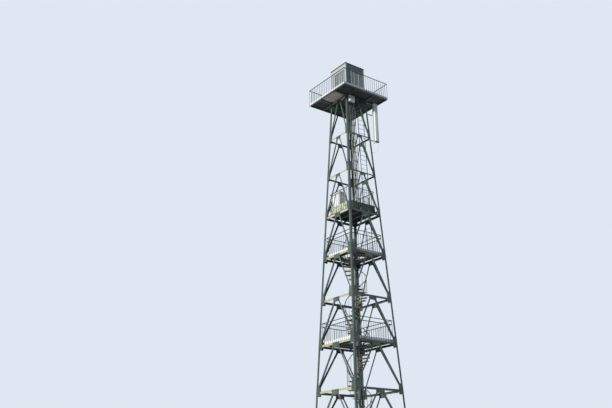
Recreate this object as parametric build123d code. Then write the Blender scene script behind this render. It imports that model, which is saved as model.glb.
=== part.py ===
from build123d import *
import os
from math import ceil, cos, radians, sin, sqrt, tan

# Tower body: a square plan that narrows in a straight line from the ground to the gallery
bay_height = 2500
bay_count = 10
base_half_width = 2040
top_half_width = 770
leg_width = 120
leg_thickness = 10

# Lattice bars: heavy angles in the lower bays, light ones above
heavy_brace_width = 90
light_brace_width = 70
heavy_brace_lip = 60
light_brace_lip = 50
brace_thickness = 8
heavy_brace_bays = 7
heavy_ring_width = 120
light_ring_width = 80
ring_lip = 80
ring_thickness = 8
heavy_ring_levels = 7
bar_clearance = 12
brace_foot_inset = 60
brace_head_spread = 75

# Gusset plates, bolted to the outside of legs and bars
gusset_thickness = 10
gusset_margin = 8
heavy_gusset_reach = 330
light_gusset_reach = 215
heavy_gusset_drop = 230
light_gusset_drop = 110
brace_lap = 120
apex_plate_margin = 40

# Base plates
base_plate_size = 420
base_plate_thickness = 20
base_plate_overhang = 120
anchor_hole_radius = 14
anchor_hole_inset = 55

# Helical stair: three equal flights round one newel
newel_radius = 84
newel_wall = 8
newel_base_size = 480
newel_top_rise = 1100
newel_cap_radius = 92
newel_cap_thickness = 12
stair_radius = 650
risers_per_flight = 24
step_angle = 22.5
tread_overlap_angle = 2.5
tread_thickness = 35
tread_bracket_thickness = 10
tread_bracket_depth = 90
tread_bracket_tip = 25
tread_bracket_inset = 40
tread_clearance = 0.2
top_landing_angle = 202.5
landing_sector_angle = 135
well_margin = 45
stair_rail_height = 950
stair_rail_radius = 22
stair_rail_sides = 6
stair_post_size = 16

# Landings inside the tower, a bay count from the ground for each
landing_levels = [2, 4, 6]
joist_depth = 50
joist_width = 60
deck_thickness = 36
toe_board_height = 145
toe_board_thickness = 6
joist_end_clearance = 12
frame_gap = 1
seat_clearance = 0.3

# Railings
rail_radius = 24
rail_sides = 8
baluster_size = 16
baluster_pitch = 180
railing_clearance = 10
landing_baluster_height = 970
landing_rail_height = 1185
corner_gap = 1

# Equipment platform
equipment_level = 7
equipment_joist_depth = 160
equipment_half_width = 950
skirt_height = 400
equipment_rail_height = 1270
cabinet_width = 720
cabinet_depth = 450
cabinet_height = 1300
cabinet_corner_x = -800
cabinet_corner_y = 170
cabinet_plinth_height = 60
cabinet_plinth_inset = 30
cabinet_hood_height = 50
cabinet_hood_overhang = 20

# Gallery at the tower's head
gallery_half_width = 1725
gallery_joist_depth = 80
gallery_rail_height = 1000
gallery_toe_height = 110

# Cabin on the gallery
cabin_half_width = 735
cabin_wall = 50
cabin_height = 2155
roof_overhang = 15
fascia_height = 75
roof_rise = 20
roof_slope_width = 560
window_sill = 880
window_head = 1770
front_window_left = 290
front_window_right = 660
side_window_front = 610
side_window_rear = 310
glass_thickness = 6
door_width = 620
door_height = 1800
door_lap = 20
door_thickness = 30
door_foot_gap = 10

# Ladders
ladder_width = 460
ladder_stile_depth = 50
ladder_stile_thickness = 12
rung_radius = 11
rung_pitch = 300
first_rung_rise = 225
ladder_foot_gap = 1.3
cable_foot_gap = 4
upper_ladder_centre = 370
upper_ladder_foot_setback = 80
upper_ladder_head_setback = 145
lower_ladder_centre = -350
lower_ladder_setback = 120
ladder_rise_above_floor = 950
hatch_margin = 40
hatch_depth = 560

# Cable ladder, feeder cables, radio unit and panel antenna
cable_ladder_width = 420
cable_ladder_centre = -270
cable_ladder_bar = 30
cable_ladder_pitch = 600
cable_ladder_head_gap = 150
feeder_head_gap = 60
cable_count = 5
cable_radius = 15
cable_pitch = 60
radio_width = 420
radio_depth = 160
radio_height = 430
radio_centre_x = -465
radio_top_gap = 20
antenna_width = 300
antenna_depth = 140
antenna_height = 2600
antenna_bottom = 22200
antenna_centre_x = 1200
antenna_front_y = -1200
antenna_corner_radius = 56
antenna_pipe_radius = 30
antenna_pipe_gap = 60
antenna_pipe_offset = 70
antenna_pipe_tail = 40
bracket_bar = 50
low_bracket_rise = 100
high_bracket_rise = 1900

# Jumper cable, which hangs from the antenna's foot to a clamp on the right leg
jumper_radius = 7
jumper_plug_radius = 16
jumper_plug_length = 40
jumper_plug_x = 1290
jumper_plug_y = -1130
jumper_route_steps = [(0, 0, -160), (-7, 5, -160), (-43, 45, -160), (-90, 95, -100), (-90, 85, -40)]
jumper_bend_share = 0.45
clamp_size = 50
clamp_depth = 40
clamp_middle_y = -900
clamp_bottom = 21515

# Sizes that follow from the driving dimensions
tower_height = bay_height * bay_count
lean = (base_half_width - top_half_width) / tower_height
slant = sqrt(1 + lean ** 2)
well_radius = stair_radius + well_margin
well_angle = 360 - landing_sector_angle
tread_reach = stair_radius * cos(radians(step_angle + tread_overlap_angle) / 2)
face_plane = Plane(origin=(0, -base_half_width, 0), x_dir=(1, 0, 0), z_dir=(0, -1, lean))


def half_width(height):
    return base_half_width - lean * height


def level_height(level):
    return level * bay_height


def face_point(across, height, depth=0):
    return face_plane.from_local_coords(Vector(across, height * slant, depth))


def turned(solids, angle):
    return [Rot(0, 0, angle) * solid for solid in solids]


def all_sides(solids):
    return [copy for turn in range(4) for copy in turned(solids, 90 * turn)]


def box(low, high):
    size = [high[i] - low[i] for i in range(3)]
    return Pos(*low) * Box(*size, align=(Align.MIN, Align.MIN, Align.MIN))


def outline_face(points):
    area = sum(a[0] * b[1] - b[0] * a[1] for a, b in zip(points, points[1:] + points[:1]))
    ordered = points if area > 0 else points[::-1]
    return Polygon(*ordered, align=None)


def face_plate(points, thickness):
    outline = outline_face([(across, height * slant) for across, height in points])
    return extrude(face_plane * outline, amount=thickness)


def angle_bar(start, end, width, lip, thickness, lip_side):
    axis = end - start
    frame = Plane(origin=start, x_dir=face_plane.z_dir.cross(axis), z_dir=axis)
    edge = lip_side * width / 2
    web = edge - lip_side * thickness
    section = [(-edge, 0), (edge, 0), (edge, -lip), (web, -lip), (web, -thickness), (-edge, -thickness)]
    return extrude(frame * outline_face(section), amount=axis.length)


def ring_width(level):
    return heavy_ring_width if level <= heavy_ring_levels else light_ring_width


def brace_width(bay):
    return heavy_brace_width if bay < heavy_brace_bays else light_brace_width


def brace_lip(bay):
    return heavy_brace_lip if bay < heavy_brace_bays else light_brace_lip


# Legs and base plates
def corner_leg():
    heel = half_width(base_plate_thickness)
    web = heel - leg_thickness * slant
    tip = heel - leg_width
    section = outline_face([(heel, heel), (tip, heel), (tip, web), (web, web), (web, tip), (heel, tip)])
    rise = tower_height - base_plate_thickness
    length = rise * sqrt(1 + 2 * lean ** 2)
    return extrude(Pos(0, 0, base_plate_thickness) * section, amount=length, dir=(-lean, -lean, 1))


def base_plate():
    centre = half_width(0) + base_plate_overhang - base_plate_size / 2
    plate = Pos(centre, centre, base_plate_thickness / 2) * Box(
        base_plate_size, base_plate_size, base_plate_thickness)
    reach = base_plate_size / 2 - anchor_hole_inset
    for x, y in ((-reach, -reach), (reach, -reach), (-reach, reach), (reach, reach)):
        plate -= Pos(centre + x, centre + y, base_plate_thickness / 2) * Cylinder(
            anchor_hole_radius, base_plate_thickness * 2)
    return plate


# One flat side of the lattice
def ring_beam(level):
    width = ring_width(level)
    top = level_height(level)
    reach = half_width(top) - leg_width - gusset_margin
    middle = top - width / 2 / slant
    start, end = (face_point(side * reach, middle) for side in (-1, 1))
    return angle_bar(start, end, width, ring_lip, ring_thickness, 1)


def brace_slope(bay):
    return (half_width(level_height(bay)) - brace_foot_inset - brace_head_spread) / bay_height


def brace_across(bay, height):
    return brace_head_spread + brace_slope(bay) * (level_height(bay + 1) - height)


def brace_ends(bay):
    slope = brace_slope(bay)
    stretch = sqrt(1 + slope ** 2)
    edge = brace_width(bay) / 2 * stretch
    corner_rise = brace_width(bay) / 2 * slope / stretch
    meeting = (edge + leg_width + bar_clearance - brace_foot_inset) / (slope - lean)
    foot = level_height(bay) + meeting - corner_rise
    head = level_height(bay + 1) - ring_width(bay + 1) - bar_clearance - corner_rise
    return foot, head


def braces(bay):
    bars = []
    for side in (-1, 1):
        foot, head = (face_point(side * brace_across(bay, height), height) for height in brace_ends(bay))
        bars.append(angle_bar(foot, head, brace_width(bay), brace_lip(bay), brace_thickness, side))
    return bars


def lattice_side():
    bars = [ring_beam(level) for level in range(1, bay_count + 1)]
    for bay in range(bay_count):
        bars += braces(bay)
    return bars


def corner_gussets(level):
    height = level_height(level)
    heavy = level < heavy_brace_bays
    drop = heavy_gusset_drop if heavy else light_gusset_drop
    reach = heavy_gusset_reach if heavy else light_gusset_reach
    bottom = height - drop if level else base_plate_thickness + gusset_margin
    waist = bottom + drop
    top = brace_ends(level)[0] + brace_lap
    inner_edge = brace_across(level, top) - brace_width(level) / 2
    plates = []
    for side in (-1, 1):
        outline = [
            (half_width(bottom) - gusset_margin, bottom),
            (half_width(top) - gusset_margin, top),
            (inner_edge, top),
            (half_width(waist) - reach, waist),
            (half_width(waist) - reach, bottom),
        ]
        plates.append(face_plate([(side * across, z) for across, z in outline], gusset_thickness))
    return plates


def apex_gusset(level):
    top = level_height(level) - gusset_margin
    bottom = brace_ends(level - 1)[1] - brace_lap
    half = brace_across(level - 1, bottom) + apex_plate_margin
    return face_plate([(-half, bottom), (-half, top), (half, top), (half, bottom)], gusset_thickness)


def side_gussets():
    plates = [apex_gusset(level) for level in range(1, bay_count + 1)]
    for level in range(bay_count):
        plates += corner_gussets(level)
    return plates


# Helical stair
def newel():
    top = level_height(landing_levels[-1]) + newel_top_rise
    column = Cylinder(newel_radius, top - newel_cap_thickness, align=(Align.CENTER, Align.CENTER, Align.MIN))
    column -= Pos(0, 0, base_plate_thickness) * Cylinder(
        newel_radius - newel_wall, top, align=(Align.CENTER, Align.CENTER, Align.MIN))
    base = Pos(0, 0, base_plate_thickness / 2) * Box(newel_base_size, newel_base_size, base_plate_thickness)
    reach = newel_base_size / 2 - anchor_hole_inset
    for x, y in ((-reach, -reach), (reach, -reach), (-reach, reach), (reach, reach)):
        base -= Pos(x, y, base_plate_thickness / 2) * Cylinder(anchor_hole_radius, base_plate_thickness * 2)
    cap = Pos(0, 0, top - newel_cap_thickness / 2) * Cylinder(newel_cap_radius, newel_cap_thickness)
    return column + base + cap


def sector(radius, start_angle, sweep_angle, edges):
    angles = [radians(start_angle + sweep_angle * number / edges) for number in range(edges + 1)]
    return outline_face([(0, 0)] + [(radius * cos(angle), radius * sin(angle)) for angle in angles])


def tread(middle_angle, top):
    spread = tan(radians(step_angle + tread_overlap_angle) / 2)
    inner = newel_radius + tread_clearance
    outline = [(inner, -inner * spread), (tread_reach, -tread_reach * spread),
               (tread_reach, tread_reach * spread), (inner, inner * spread)]
    plate = extrude(outline_face(outline), amount=-tread_thickness)
    rib_tip = stair_radius - tread_bracket_inset
    rib_outline = [(inner, 0), (rib_tip, 0), (rib_tip, -tread_bracket_tip), (inner, -tread_bracket_depth)]
    rib_frame = Plane(origin=(0, 0, -tread_thickness), x_dir=(1, 0, 0), z_dir=(0, -1, 0))
    rib = extrude(rib_frame * outline_face(rib_outline), amount=tread_bracket_thickness / 2, both=True)
    return Pos(0, 0, top) * Rot(0, 0, middle_angle) * (plate + rib)


def landing_top(index):
    return frame_bottom(landing_levels[index]) + joist_depth + deck_thickness


def flight_riser(index):
    base = landing_top(index - 1) if index else 0
    return (landing_top(index) - base) / risers_per_flight


def flight_top_angle(index):
    return top_landing_angle + 180 * (len(landing_levels) - 1 - index)


def flight_treads(index):
    return [tread(flight_top_angle(index) - (number - 0.5) * step_angle,
                  landing_top(index) - number * flight_riser(index))
            for number in range(1, risers_per_flight)]


def rail_section(radius, sides):
    return RegularPolygon(radius, sides, rotation=270 - 180 / sides)


def flight_rail(index):
    riser = flight_riser(index)
    post_radius = tread_reach + stair_post_size / 2
    joint_radius = post_radius / cos(radians(step_angle / 2))
    joints = []
    for number in range(risers_per_flight):
        angle = radians(flight_top_angle(index) - number * step_angle)
        height = landing_top(index) + stair_rail_height - number * riser
        joints.append(Vector(joint_radius * cos(angle), joint_radius * sin(angle), height))
    axis = joints[1] - joints[0]
    frame = Plane(origin=joints[0], x_dir=axis.cross(Vector(0, 0, 1)), z_dir=axis)
    rail = sweep(frame * rail_section(stair_rail_radius, stair_rail_sides), path=Polyline(*joints),
                 transition=Transition.RIGHT)
    drop = stair_rail_height + riser / 2 + tread_thickness
    for number in range(1, risers_per_flight):
        top = (joints[number - 1] + joints[number]) / 2
        turn = Rot(0, 0, flight_top_angle(index) - (number - 0.5) * step_angle)
        rail += Pos(top.X, top.Y, top.Z - drop) * turn * Box(
            stair_post_size, stair_post_size, drop, align=(Align.CENTER, Align.CENTER, Align.MIN))
    return rail


# Landings, equipment platform and gallery share one way of building
def panel_line(half):
    return half - baluster_size / 2


def railing_panel(half, foot, baluster_top, rail_heights, reach):
    line = panel_line(half)
    top = max(rail_heights)
    bars = Part()
    for height in rail_heights:
        section = Plane(origin=(-reach, -line, height), x_dir=(0, 1, 0), z_dir=(1, 0, 0))
        bars += extrude(section * rail_section(rail_radius, rail_sides), amount=2 * reach)
    inner = reach - rail_radius
    gaps = ceil(2 * inner / baluster_pitch)
    for number in range(gaps + 1):
        x = -inner + 2 * inner * number / gaps
        ends = number in (0, gaps)
        bars += box((x - baluster_size / 2, -half, foot),
                    (x + baluster_size / 2, -half + baluster_size, top if ends else baluster_top))
    return bars


def railing(half, foot, baluster_top, rail_heights):
    line = panel_line(half)
    long_panel = railing_panel(half, foot, baluster_top, rail_heights, line + rail_radius)
    short_panel = railing_panel(half, foot, baluster_top, rail_heights, line - rail_radius - corner_gap)
    return turned([long_panel], 0) + turned([short_panel], 90) + turned([long_panel], 180) + turned(
        [short_panel], 270)


def toe_boards(half, bottom, height):
    outer = half - baluster_size
    long_board = box((-outer, -outer, bottom), (outer, -outer + toe_board_thickness, bottom + height))
    short_reach = outer - toe_board_thickness - corner_gap
    short_board = box((-short_reach, -outer, bottom),
                      (short_reach, -outer + toe_board_thickness, bottom + height))
    return turned([long_board], 0) + turned([short_board], 90) + turned([long_board], 180) + turned(
        [short_board], 270)


def deck_half(half):
    return half - baluster_size - toe_board_thickness


def deck_slab(half, bottom):
    reach = deck_half(half)
    return box((-reach, -reach, bottom), (reach, reach, bottom + deck_thickness))


def frame_bars(joist_lines, joist_reach, cross_lines, bottom, depth):
    bars = []
    for x in joist_lines:
        bars.append(box((x - joist_width / 2, -joist_reach, bottom),
                        (x + joist_width / 2, joist_reach, bottom + depth)))
    for left, right in zip(joist_lines, joist_lines[1:]):
        for y in cross_lines:
            bars.append(box((left + joist_width / 2 + frame_gap, y - joist_width / 2, bottom),
                            (right - joist_width / 2 - frame_gap, y + joist_width / 2, bottom + depth)))
    return bars


# Landings
def frame_bottom(level):
    return level_height(level) - lean * joist_end_clearance + seat_clearance


def frame_reach(level):
    return half_width(level_height(level)) - joist_end_clearance


def landing_half(level):
    top = level_height(level) + joist_depth + landing_rail_height
    return half_width(top) - brace_lip(level) - railing_clearance - rail_radius


def landing_frame(level):
    edge = deck_half(landing_half(level)) - joist_width / 2
    inner = well_radius + joist_width / 2 + frame_gap
    lines = [-edge, -inner, inner, edge]
    return frame_bars(lines, frame_reach(level), lines, frame_bottom(level), joist_depth)


def landing_deck(index):
    level = landing_levels[index]
    bottom = frame_bottom(level) + joist_depth
    deck = deck_slab(landing_half(level), bottom)
    start_angle = flight_top_angle(index) - well_angle
    well = sector(well_radius, start_angle, well_angle, round(well_angle / step_angle))
    deck -= Pos(0, 0, bottom) * extrude(well, amount=2 * deck_thickness, both=True)
    deck -= Pos(0, 0, bottom) * Cylinder(newel_radius + tread_clearance, 3 * deck_thickness)
    return deck


def landing_railing(level):
    foot = frame_bottom(level) + joist_depth
    return railing(landing_half(level), foot, foot + landing_baluster_height,
                   [foot + landing_baluster_height, foot + landing_rail_height])


def landing_toe_boards(level):
    return toe_boards(landing_half(level), frame_bottom(level) + joist_depth, toe_board_height)


# Equipment platform
equipment_deck_bottom = frame_bottom(equipment_level) + equipment_joist_depth
equipment_deck_top = equipment_deck_bottom + deck_thickness


def hatch_box(ladder_out, centre, bottom):
    outer = ladder_out + ladder_stile_depth / 2 + hatch_margin
    reach = ladder_width / 2 + hatch_margin
    return box((centre - reach, -outer, bottom - deck_thickness),
               (centre + reach, -outer + hatch_depth, bottom + 2 * deck_thickness))


def equipment_frame():
    edge = deck_half(equipment_half_width) - joist_width / 2
    return frame_bars([-edge, -edge / 3, edge / 3, edge], frame_reach(equipment_level), [-edge, edge],
                      frame_bottom(equipment_level), equipment_joist_depth)


def equipment_deck():
    out = line_out(lower_ladder_line(), equipment_deck_bottom)
    hatch = hatch_box(out, lower_ladder_centre, equipment_deck_bottom)
    return deck_slab(equipment_half_width, equipment_deck_bottom) - Rot(0, 0, 90) * hatch


def equipment_cabinet():
    x, y = cabinet_corner_x, cabinet_corner_y
    inset = cabinet_plinth_inset
    floor = equipment_deck_top
    plinth_top = floor + cabinet_plinth_height
    body_top = floor + cabinet_height - cabinet_hood_height
    over = cabinet_hood_overhang
    plinth = box((x + inset, y + inset, floor),
                 (x + cabinet_depth - inset, y + cabinet_width - inset, plinth_top))
    body = box((x, y, plinth_top), (x + cabinet_depth, y + cabinet_width, body_top))
    hood = box((x - over, y - over, body_top),
               (x + cabinet_depth + over, y + cabinet_width + over, floor + cabinet_height))
    return plinth + body + hood


# Gallery
gallery_frame_bottom = tower_height + seat_clearance
gallery_deck_bottom = gallery_frame_bottom + gallery_joist_depth
gallery_deck_top = gallery_deck_bottom + deck_thickness


def gallery_frame():
    edge = deck_half(gallery_half_width) + toe_board_thickness - joist_width / 2
    inner = top_half_width - joist_width
    lines = [-edge, -inner, inner, edge]
    return frame_bars(lines, edge + joist_width / 2, lines, gallery_frame_bottom, gallery_joist_depth)


def gallery_hatch():
    out = line_out(upper_ladder_line(), gallery_deck_bottom)
    return hatch_box(out, upper_ladder_centre, gallery_deck_bottom)


def gallery_deck():
    return deck_slab(gallery_half_width, gallery_deck_bottom) - gallery_hatch()


# Cabin
def cabin_wall_panel(reach, left, right, sill, head):
    outer = cabin_half_width
    floor = gallery_deck_top
    wall = box((-reach, -outer, floor), (reach, -outer + cabin_wall, floor + cabin_height))
    opening = box((left, -outer - cabin_wall, floor + sill), (right, -outer + 2 * cabin_wall, floor + head))
    return wall - opening


def window_pane(left, right):
    middle = -cabin_half_width + cabin_wall / 2
    return box((left, middle - glass_thickness / 2, gallery_deck_top + window_sill),
               (right, middle + glass_thickness / 2, gallery_deck_top + window_head))


def cabin_roof():
    half = cabin_half_width + roof_overhang
    eaves = gallery_deck_top + cabin_height
    fascia = box((-half, -half, eaves), (half, half, eaves + fascia_height))
    far = 2 * half - roof_slope_width
    cap = Wedge(2 * half, roof_rise, 2 * half, roof_slope_width, roof_slope_width, far, far)
    return fascia + Pos(0, 0, eaves + fascia_height + roof_rise / 2) * Rot(90, 0, 0) * cap


def cabin_door():
    outer = cabin_half_width
    reach = door_width / 2 + door_lap
    leaf = box((-reach, -outer - door_thickness, gallery_deck_top + door_foot_gap),
               (reach, -outer, gallery_deck_top + door_height + door_lap))
    return Rot(0, 0, 180) * leaf


# Ladders, each on a straight line given by two heights and how far out it stands there
def upper_ladder_line():
    foot_out = equipment_half_width - upper_ladder_foot_setback
    head_out = top_half_width - upper_ladder_head_setback
    return equipment_deck_top, foot_out, gallery_deck_top, head_out


def lower_ladder_line():
    head_out = equipment_half_width - lower_ladder_setback
    foot_height = level_height(landing_levels[-1])
    return foot_height, head_out + lean * (equipment_deck_top - foot_height), equipment_deck_top, head_out


def line_out(line, height):
    foot_height, foot_out, head_height, head_out = line
    return foot_out + (head_out - foot_out) * (height - foot_height) / (head_height - foot_height)


def line_point(line, across, height):
    return Vector(across, -line_out(line, height), height)


def sloping_bar(line, across, foot, head, section, depth=0):
    start = line_point(line, across, foot)
    axis = line_point(line, across, head) - start
    frame = Plane(origin=start, x_dir=(1, 0, 0), z_dir=axis)
    return extrude(frame * Pos(0, depth) * section, amount=axis.length)


def rung(line, left, height, section, length):
    frame = Plane(origin=line_point(line, left, height), x_dir=(0, 1, 0), z_dir=(1, 0, 0))
    return extrude(frame * section, amount=length)


def ladder(line, centre, foot, head):
    reach = ladder_width / 2
    stile = Rectangle(ladder_stile_thickness, ladder_stile_depth)
    bars = sloping_bar(line, centre - reach, foot, head, stile)
    bars += sloping_bar(line, centre + reach, foot, head, stile)
    step = RegularPolygon(rung_radius, 6)
    for number in range(int((head - foot) / rung_pitch)):
        bars += rung(line, centre - reach, foot + first_rung_rise + rung_pitch * number, step, ladder_width)
    return bars


def upper_ladder():
    foot = equipment_deck_top + ladder_foot_gap
    return ladder(upper_ladder_line(), upper_ladder_centre, foot, gallery_deck_top + ladder_rise_above_floor)


def lower_ladder():
    foot = landing_top(-1) + ladder_foot_gap
    head = equipment_deck_top + ladder_rise_above_floor
    return Rot(0, 0, 90) * ladder(lower_ladder_line(), lower_ladder_centre, foot, head)


# Cable ladder and feeder cables
def cable_ladder():
    foot = equipment_deck_top + ladder_foot_gap
    head = tower_height - radio_height - cable_ladder_head_gap
    line = upper_ladder_line()
    reach = cable_ladder_width / 2
    side_bar = Rectangle(cable_ladder_bar / 2, cable_ladder_bar)
    bars = sloping_bar(line, cable_ladder_centre - reach, foot, head, side_bar)
    bars += sloping_bar(line, cable_ladder_centre + reach, foot, head, side_bar)
    step = Rectangle(cable_ladder_bar, cable_ladder_bar / 2)
    for number in range(int((head - foot) / cable_ladder_pitch) + 1):
        height = foot + cable_ladder_bar + cable_ladder_pitch * number
        bars += rung(line, cable_ladder_centre - reach, height, step, cable_ladder_width)
    return bars


def feeder_cables():
    foot = equipment_deck_top + cable_foot_gap
    head = tower_height - radio_height - feeder_head_gap
    depth = cable_ladder_bar / 2 + cable_radius + seat_clearance
    section = RegularPolygon(cable_radius, 8)
    cables = []
    for number in range(cable_count):
        across = cable_ladder_centre + (number - (cable_count - 1) / 2) * cable_pitch
        cables.append(sloping_bar(upper_ladder_line(), across, foot, head, section, depth))
    return cables


def radio_unit():
    top = tower_height - radio_top_gap
    back = half_width(top - radio_height) + seat_clearance
    return box((radio_centre_x - radio_width / 2, -back - radio_depth, top - radio_height),
               (radio_centre_x + radio_width / 2, -back, top))


def panel_antenna():
    section = Pos(antenna_centre_x, antenna_front_y + antenna_depth / 2) * RectangleRounded(
        antenna_width, antenna_depth, antenna_corner_radius)
    plug = Pos(jumper_plug_x, jumper_plug_y, antenna_bottom) * Cylinder(
        jumper_plug_radius, jumper_plug_length, align=(Align.CENTER, Align.CENTER, Align.MAX))
    return Pos(0, 0, antenna_bottom) * extrude(section, amount=antenna_height) + plug


def antenna_bracket():
    back = antenna_front_y + antenna_depth
    pipe_y = back + antenna_pipe_gap + antenna_pipe_radius
    pipe_x = antenna_centre_x - antenna_pipe_offset
    low = antenna_bottom - antenna_pipe_tail
    high = antenna_bottom + antenna_height
    bracket = Pos(pipe_x, pipe_y, low) * Cylinder(antenna_pipe_radius, high - low,
                                                  align=(Align.CENTER, Align.CENTER, Align.MIN))
    for height in (antenna_bottom + low_bracket_rise, antenna_bottom + high_bracket_rise):
        leg_face = -half_width(height) - seat_clearance
        leg_inner = half_width(height) - leg_width
        bracket += box((leg_inner, leg_face - bracket_bar, height), (pipe_x, leg_face, height + bracket_bar))
        bracket += box((pipe_x - bracket_bar / 2, min(pipe_y, leg_face - bracket_bar), height),
                       (pipe_x + bracket_bar / 2, leg_face, height + bracket_bar))
        bracket += box((pipe_x - bracket_bar / 2, back + seat_clearance, height),
                       (pipe_x + bracket_bar / 2, pipe_y, height + bracket_bar))
    return bracket


# Jumper cable and its clamp
def clamp_inner_face():
    return half_width(clamp_bottom) + seat_clearance


def jumper_clamp():
    inner = clamp_inner_face()
    return box((inner, clamp_middle_y - clamp_size / 2, clamp_bottom),
               (inner + clamp_depth, clamp_middle_y + clamp_size / 2, clamp_bottom + clamp_size))


def jumper_route():
    points = [Vector(jumper_plug_x, jumper_plug_y, antenna_bottom - jumper_plug_length)]
    for step in jumper_route_steps:
        points.append(points[-1] + Vector(*step))
    points.append(Vector(clamp_inner_face() + clamp_depth, clamp_middle_y, clamp_bottom + clamp_size / 2))
    return points


def bend_radius(before, corner, after):
    turn = radians((corner - before).get_angle(after - corner))
    shorter_run = min((corner - before).length, (after - corner).length)
    return jumper_bend_share * shorter_run / tan(turn / 2)


def jumper_cable():
    points = jumper_route()
    bends = [bend_radius(*corner) for corner in zip(points, points[1:], points[2:])]
    path = FilletPolyline(*points, radius=bends)
    print("jumper cable bends", [round(bend) for bend in bends], "length", round(path.length))
    start = Plane(origin=points[0], z_dir=points[1] - points[0])
    return sweep(start * Circle(jumper_radius), path=path)


def build_nodes():
    nodes = {
        "base_plates": all_sides([base_plate()]),
        "corner_legs": all_sides([corner_leg()]),
        "gusset_plates": all_sides(side_gussets()),
        "newel_column": [newel()],
    }
    side_bars = lattice_side()
    for turn, name in enumerate(("front", "right", "back", "left")):
        nodes[f"{name}_lattice"] = turned(side_bars, 90 * turn)
    nodes["landing_frames"] = [bar for level in landing_levels for bar in landing_frame(level)]
    toe_board_sets = [landing_toe_boards(level) for level in landing_levels]
    toe_board_sets.append(toe_boards(gallery_half_width, gallery_deck_bottom, gallery_toe_height))
    nodes["toe_boards"] = [board for boards in toe_board_sets for board in boards]
    for index, name in enumerate(("lower", "middle", "upper")):
        nodes[f"{name}_treads"] = flight_treads(index)
        nodes[f"{name}_stair_rail"] = [flight_rail(index)]
        nodes[f"{name}_landing_deck"] = [landing_deck(index)]
        nodes[f"{name}_landing_railing"] = landing_railing(landing_levels[index])
    half = equipment_half_width
    nodes["equipment_frame"] = equipment_frame()
    nodes["equipment_deck"] = [equipment_deck()]
    nodes["equipment_skirt"] = toe_boards(half, equipment_deck_bottom, skirt_height)
    rail_height = equipment_deck_bottom + equipment_rail_height
    nodes["equipment_railing"] = railing(half, equipment_deck_bottom, rail_height, [rail_height])
    nodes["equipment_cabinet"] = [equipment_cabinet()]
    half = gallery_half_width
    nodes["gallery_frame"] = gallery_frame()
    nodes["gallery_deck"] = [gallery_deck()]
    rail_height = gallery_deck_top + gallery_rail_height
    nodes["gallery_railing"] = railing(half, gallery_frame_bottom, rail_height, [rail_height])
    outer = cabin_half_width
    inner = outer - cabin_wall
    front = cabin_wall_panel(outer, -front_window_left, front_window_right, window_sill, window_head)
    right = cabin_wall_panel(inner, -side_window_front, side_window_rear, window_sill, window_head)
    left = cabin_wall_panel(inner, -side_window_rear, side_window_front, window_sill, window_head)
    back = cabin_wall_panel(outer, -door_width / 2, door_width / 2, 0, door_height)
    nodes["cabin_front_wall"] = [front]
    nodes["cabin_right_wall"] = turned([right], 90)
    nodes["cabin_back_wall"] = turned([back], 180)
    nodes["cabin_left_wall"] = turned([left], 270)
    front_pane = window_pane(-front_window_left, front_window_right)
    right_pane = window_pane(-side_window_front, side_window_rear)
    left_pane = window_pane(-side_window_rear, side_window_front)
    nodes["cabin_windows"] = [front_pane] + turned([right_pane], 90) + turned([left_pane], 270)
    nodes["cabin_door"] = [cabin_door()]
    nodes["cabin_roof"] = [cabin_roof()]
    nodes["upper_ladder"] = [upper_ladder()]
    nodes["lower_ladder"] = [lower_ladder()]
    nodes["cable_ladder"] = [cable_ladder()]
    nodes["feeder_cables"] = feeder_cables()
    nodes["radio_unit"] = [radio_unit()]
    nodes["panel_antenna"] = [panel_antenna()]
    nodes["antenna_bracket"] = [antenna_bracket(), jumper_clamp()]
    nodes["jumper_cable"] = [jumper_cable()]
    return nodes


os.makedirs("parts", exist_ok=True)
for node_name, solids in build_nodes().items():
    shape = solids[0] if len(solids) == 1 else Compound(children=solids)
    export_step(shape, f"parts/{node_name}.step")
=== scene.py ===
"""Dressed model of a steel lattice watchtower with a helical stair, an equipment platform and a gallery cabin."""
import logging
import math
from collections.abc import Callable, Iterable, Iterator, Mapping, Sequence
from contextlib import contextmanager
from dataclasses import dataclass
from enum import Enum
from functools import cache

import bmesh
import bpy
from bpy.types import Material, Node, NodeSocket, NodeTree, Object
from mathutils import Matrix, Vector


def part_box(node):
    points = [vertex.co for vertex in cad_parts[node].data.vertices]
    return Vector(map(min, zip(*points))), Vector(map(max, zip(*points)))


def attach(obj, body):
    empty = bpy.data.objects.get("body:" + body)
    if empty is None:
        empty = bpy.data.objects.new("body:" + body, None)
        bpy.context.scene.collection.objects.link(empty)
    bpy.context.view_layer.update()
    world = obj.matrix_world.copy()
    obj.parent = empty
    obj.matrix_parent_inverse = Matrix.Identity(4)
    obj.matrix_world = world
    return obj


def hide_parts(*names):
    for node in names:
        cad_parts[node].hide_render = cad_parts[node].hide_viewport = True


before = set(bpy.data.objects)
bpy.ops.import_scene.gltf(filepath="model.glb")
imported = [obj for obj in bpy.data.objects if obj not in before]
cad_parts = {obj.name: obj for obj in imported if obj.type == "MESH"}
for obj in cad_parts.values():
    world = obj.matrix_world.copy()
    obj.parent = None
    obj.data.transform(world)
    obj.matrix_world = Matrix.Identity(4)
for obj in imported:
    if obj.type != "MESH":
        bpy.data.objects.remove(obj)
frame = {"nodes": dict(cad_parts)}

LOG = logging.getLogger("watchtower")
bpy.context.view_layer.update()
Point = tuple[float, float, float]
Colour = tuple[float, float, float, float]
Inputs = Mapping[str | int, object] | Sequence[object]
QUARTER = math.pi / 2
WELD_REACH = 0.0005
TURNS = [Matrix.Rotation(turn * QUARTER, 4, "Z") for turn in range(4)]
HANDS = (-1, 1)
CORNERS = [(x, y) for x in HANDS for y in HANDS]
RIGHT, LEFT, FRONT, BACK, UP, DOWN = (1, 0, 0), (-1, 0, 0), (0, -1, 0), (0, 1, 0), (0, 0, 1), (0, 0, -1)
NEWEL_RADIUS = 0.0842


# Modelling bench: the small steps that every piece is made with


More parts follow.
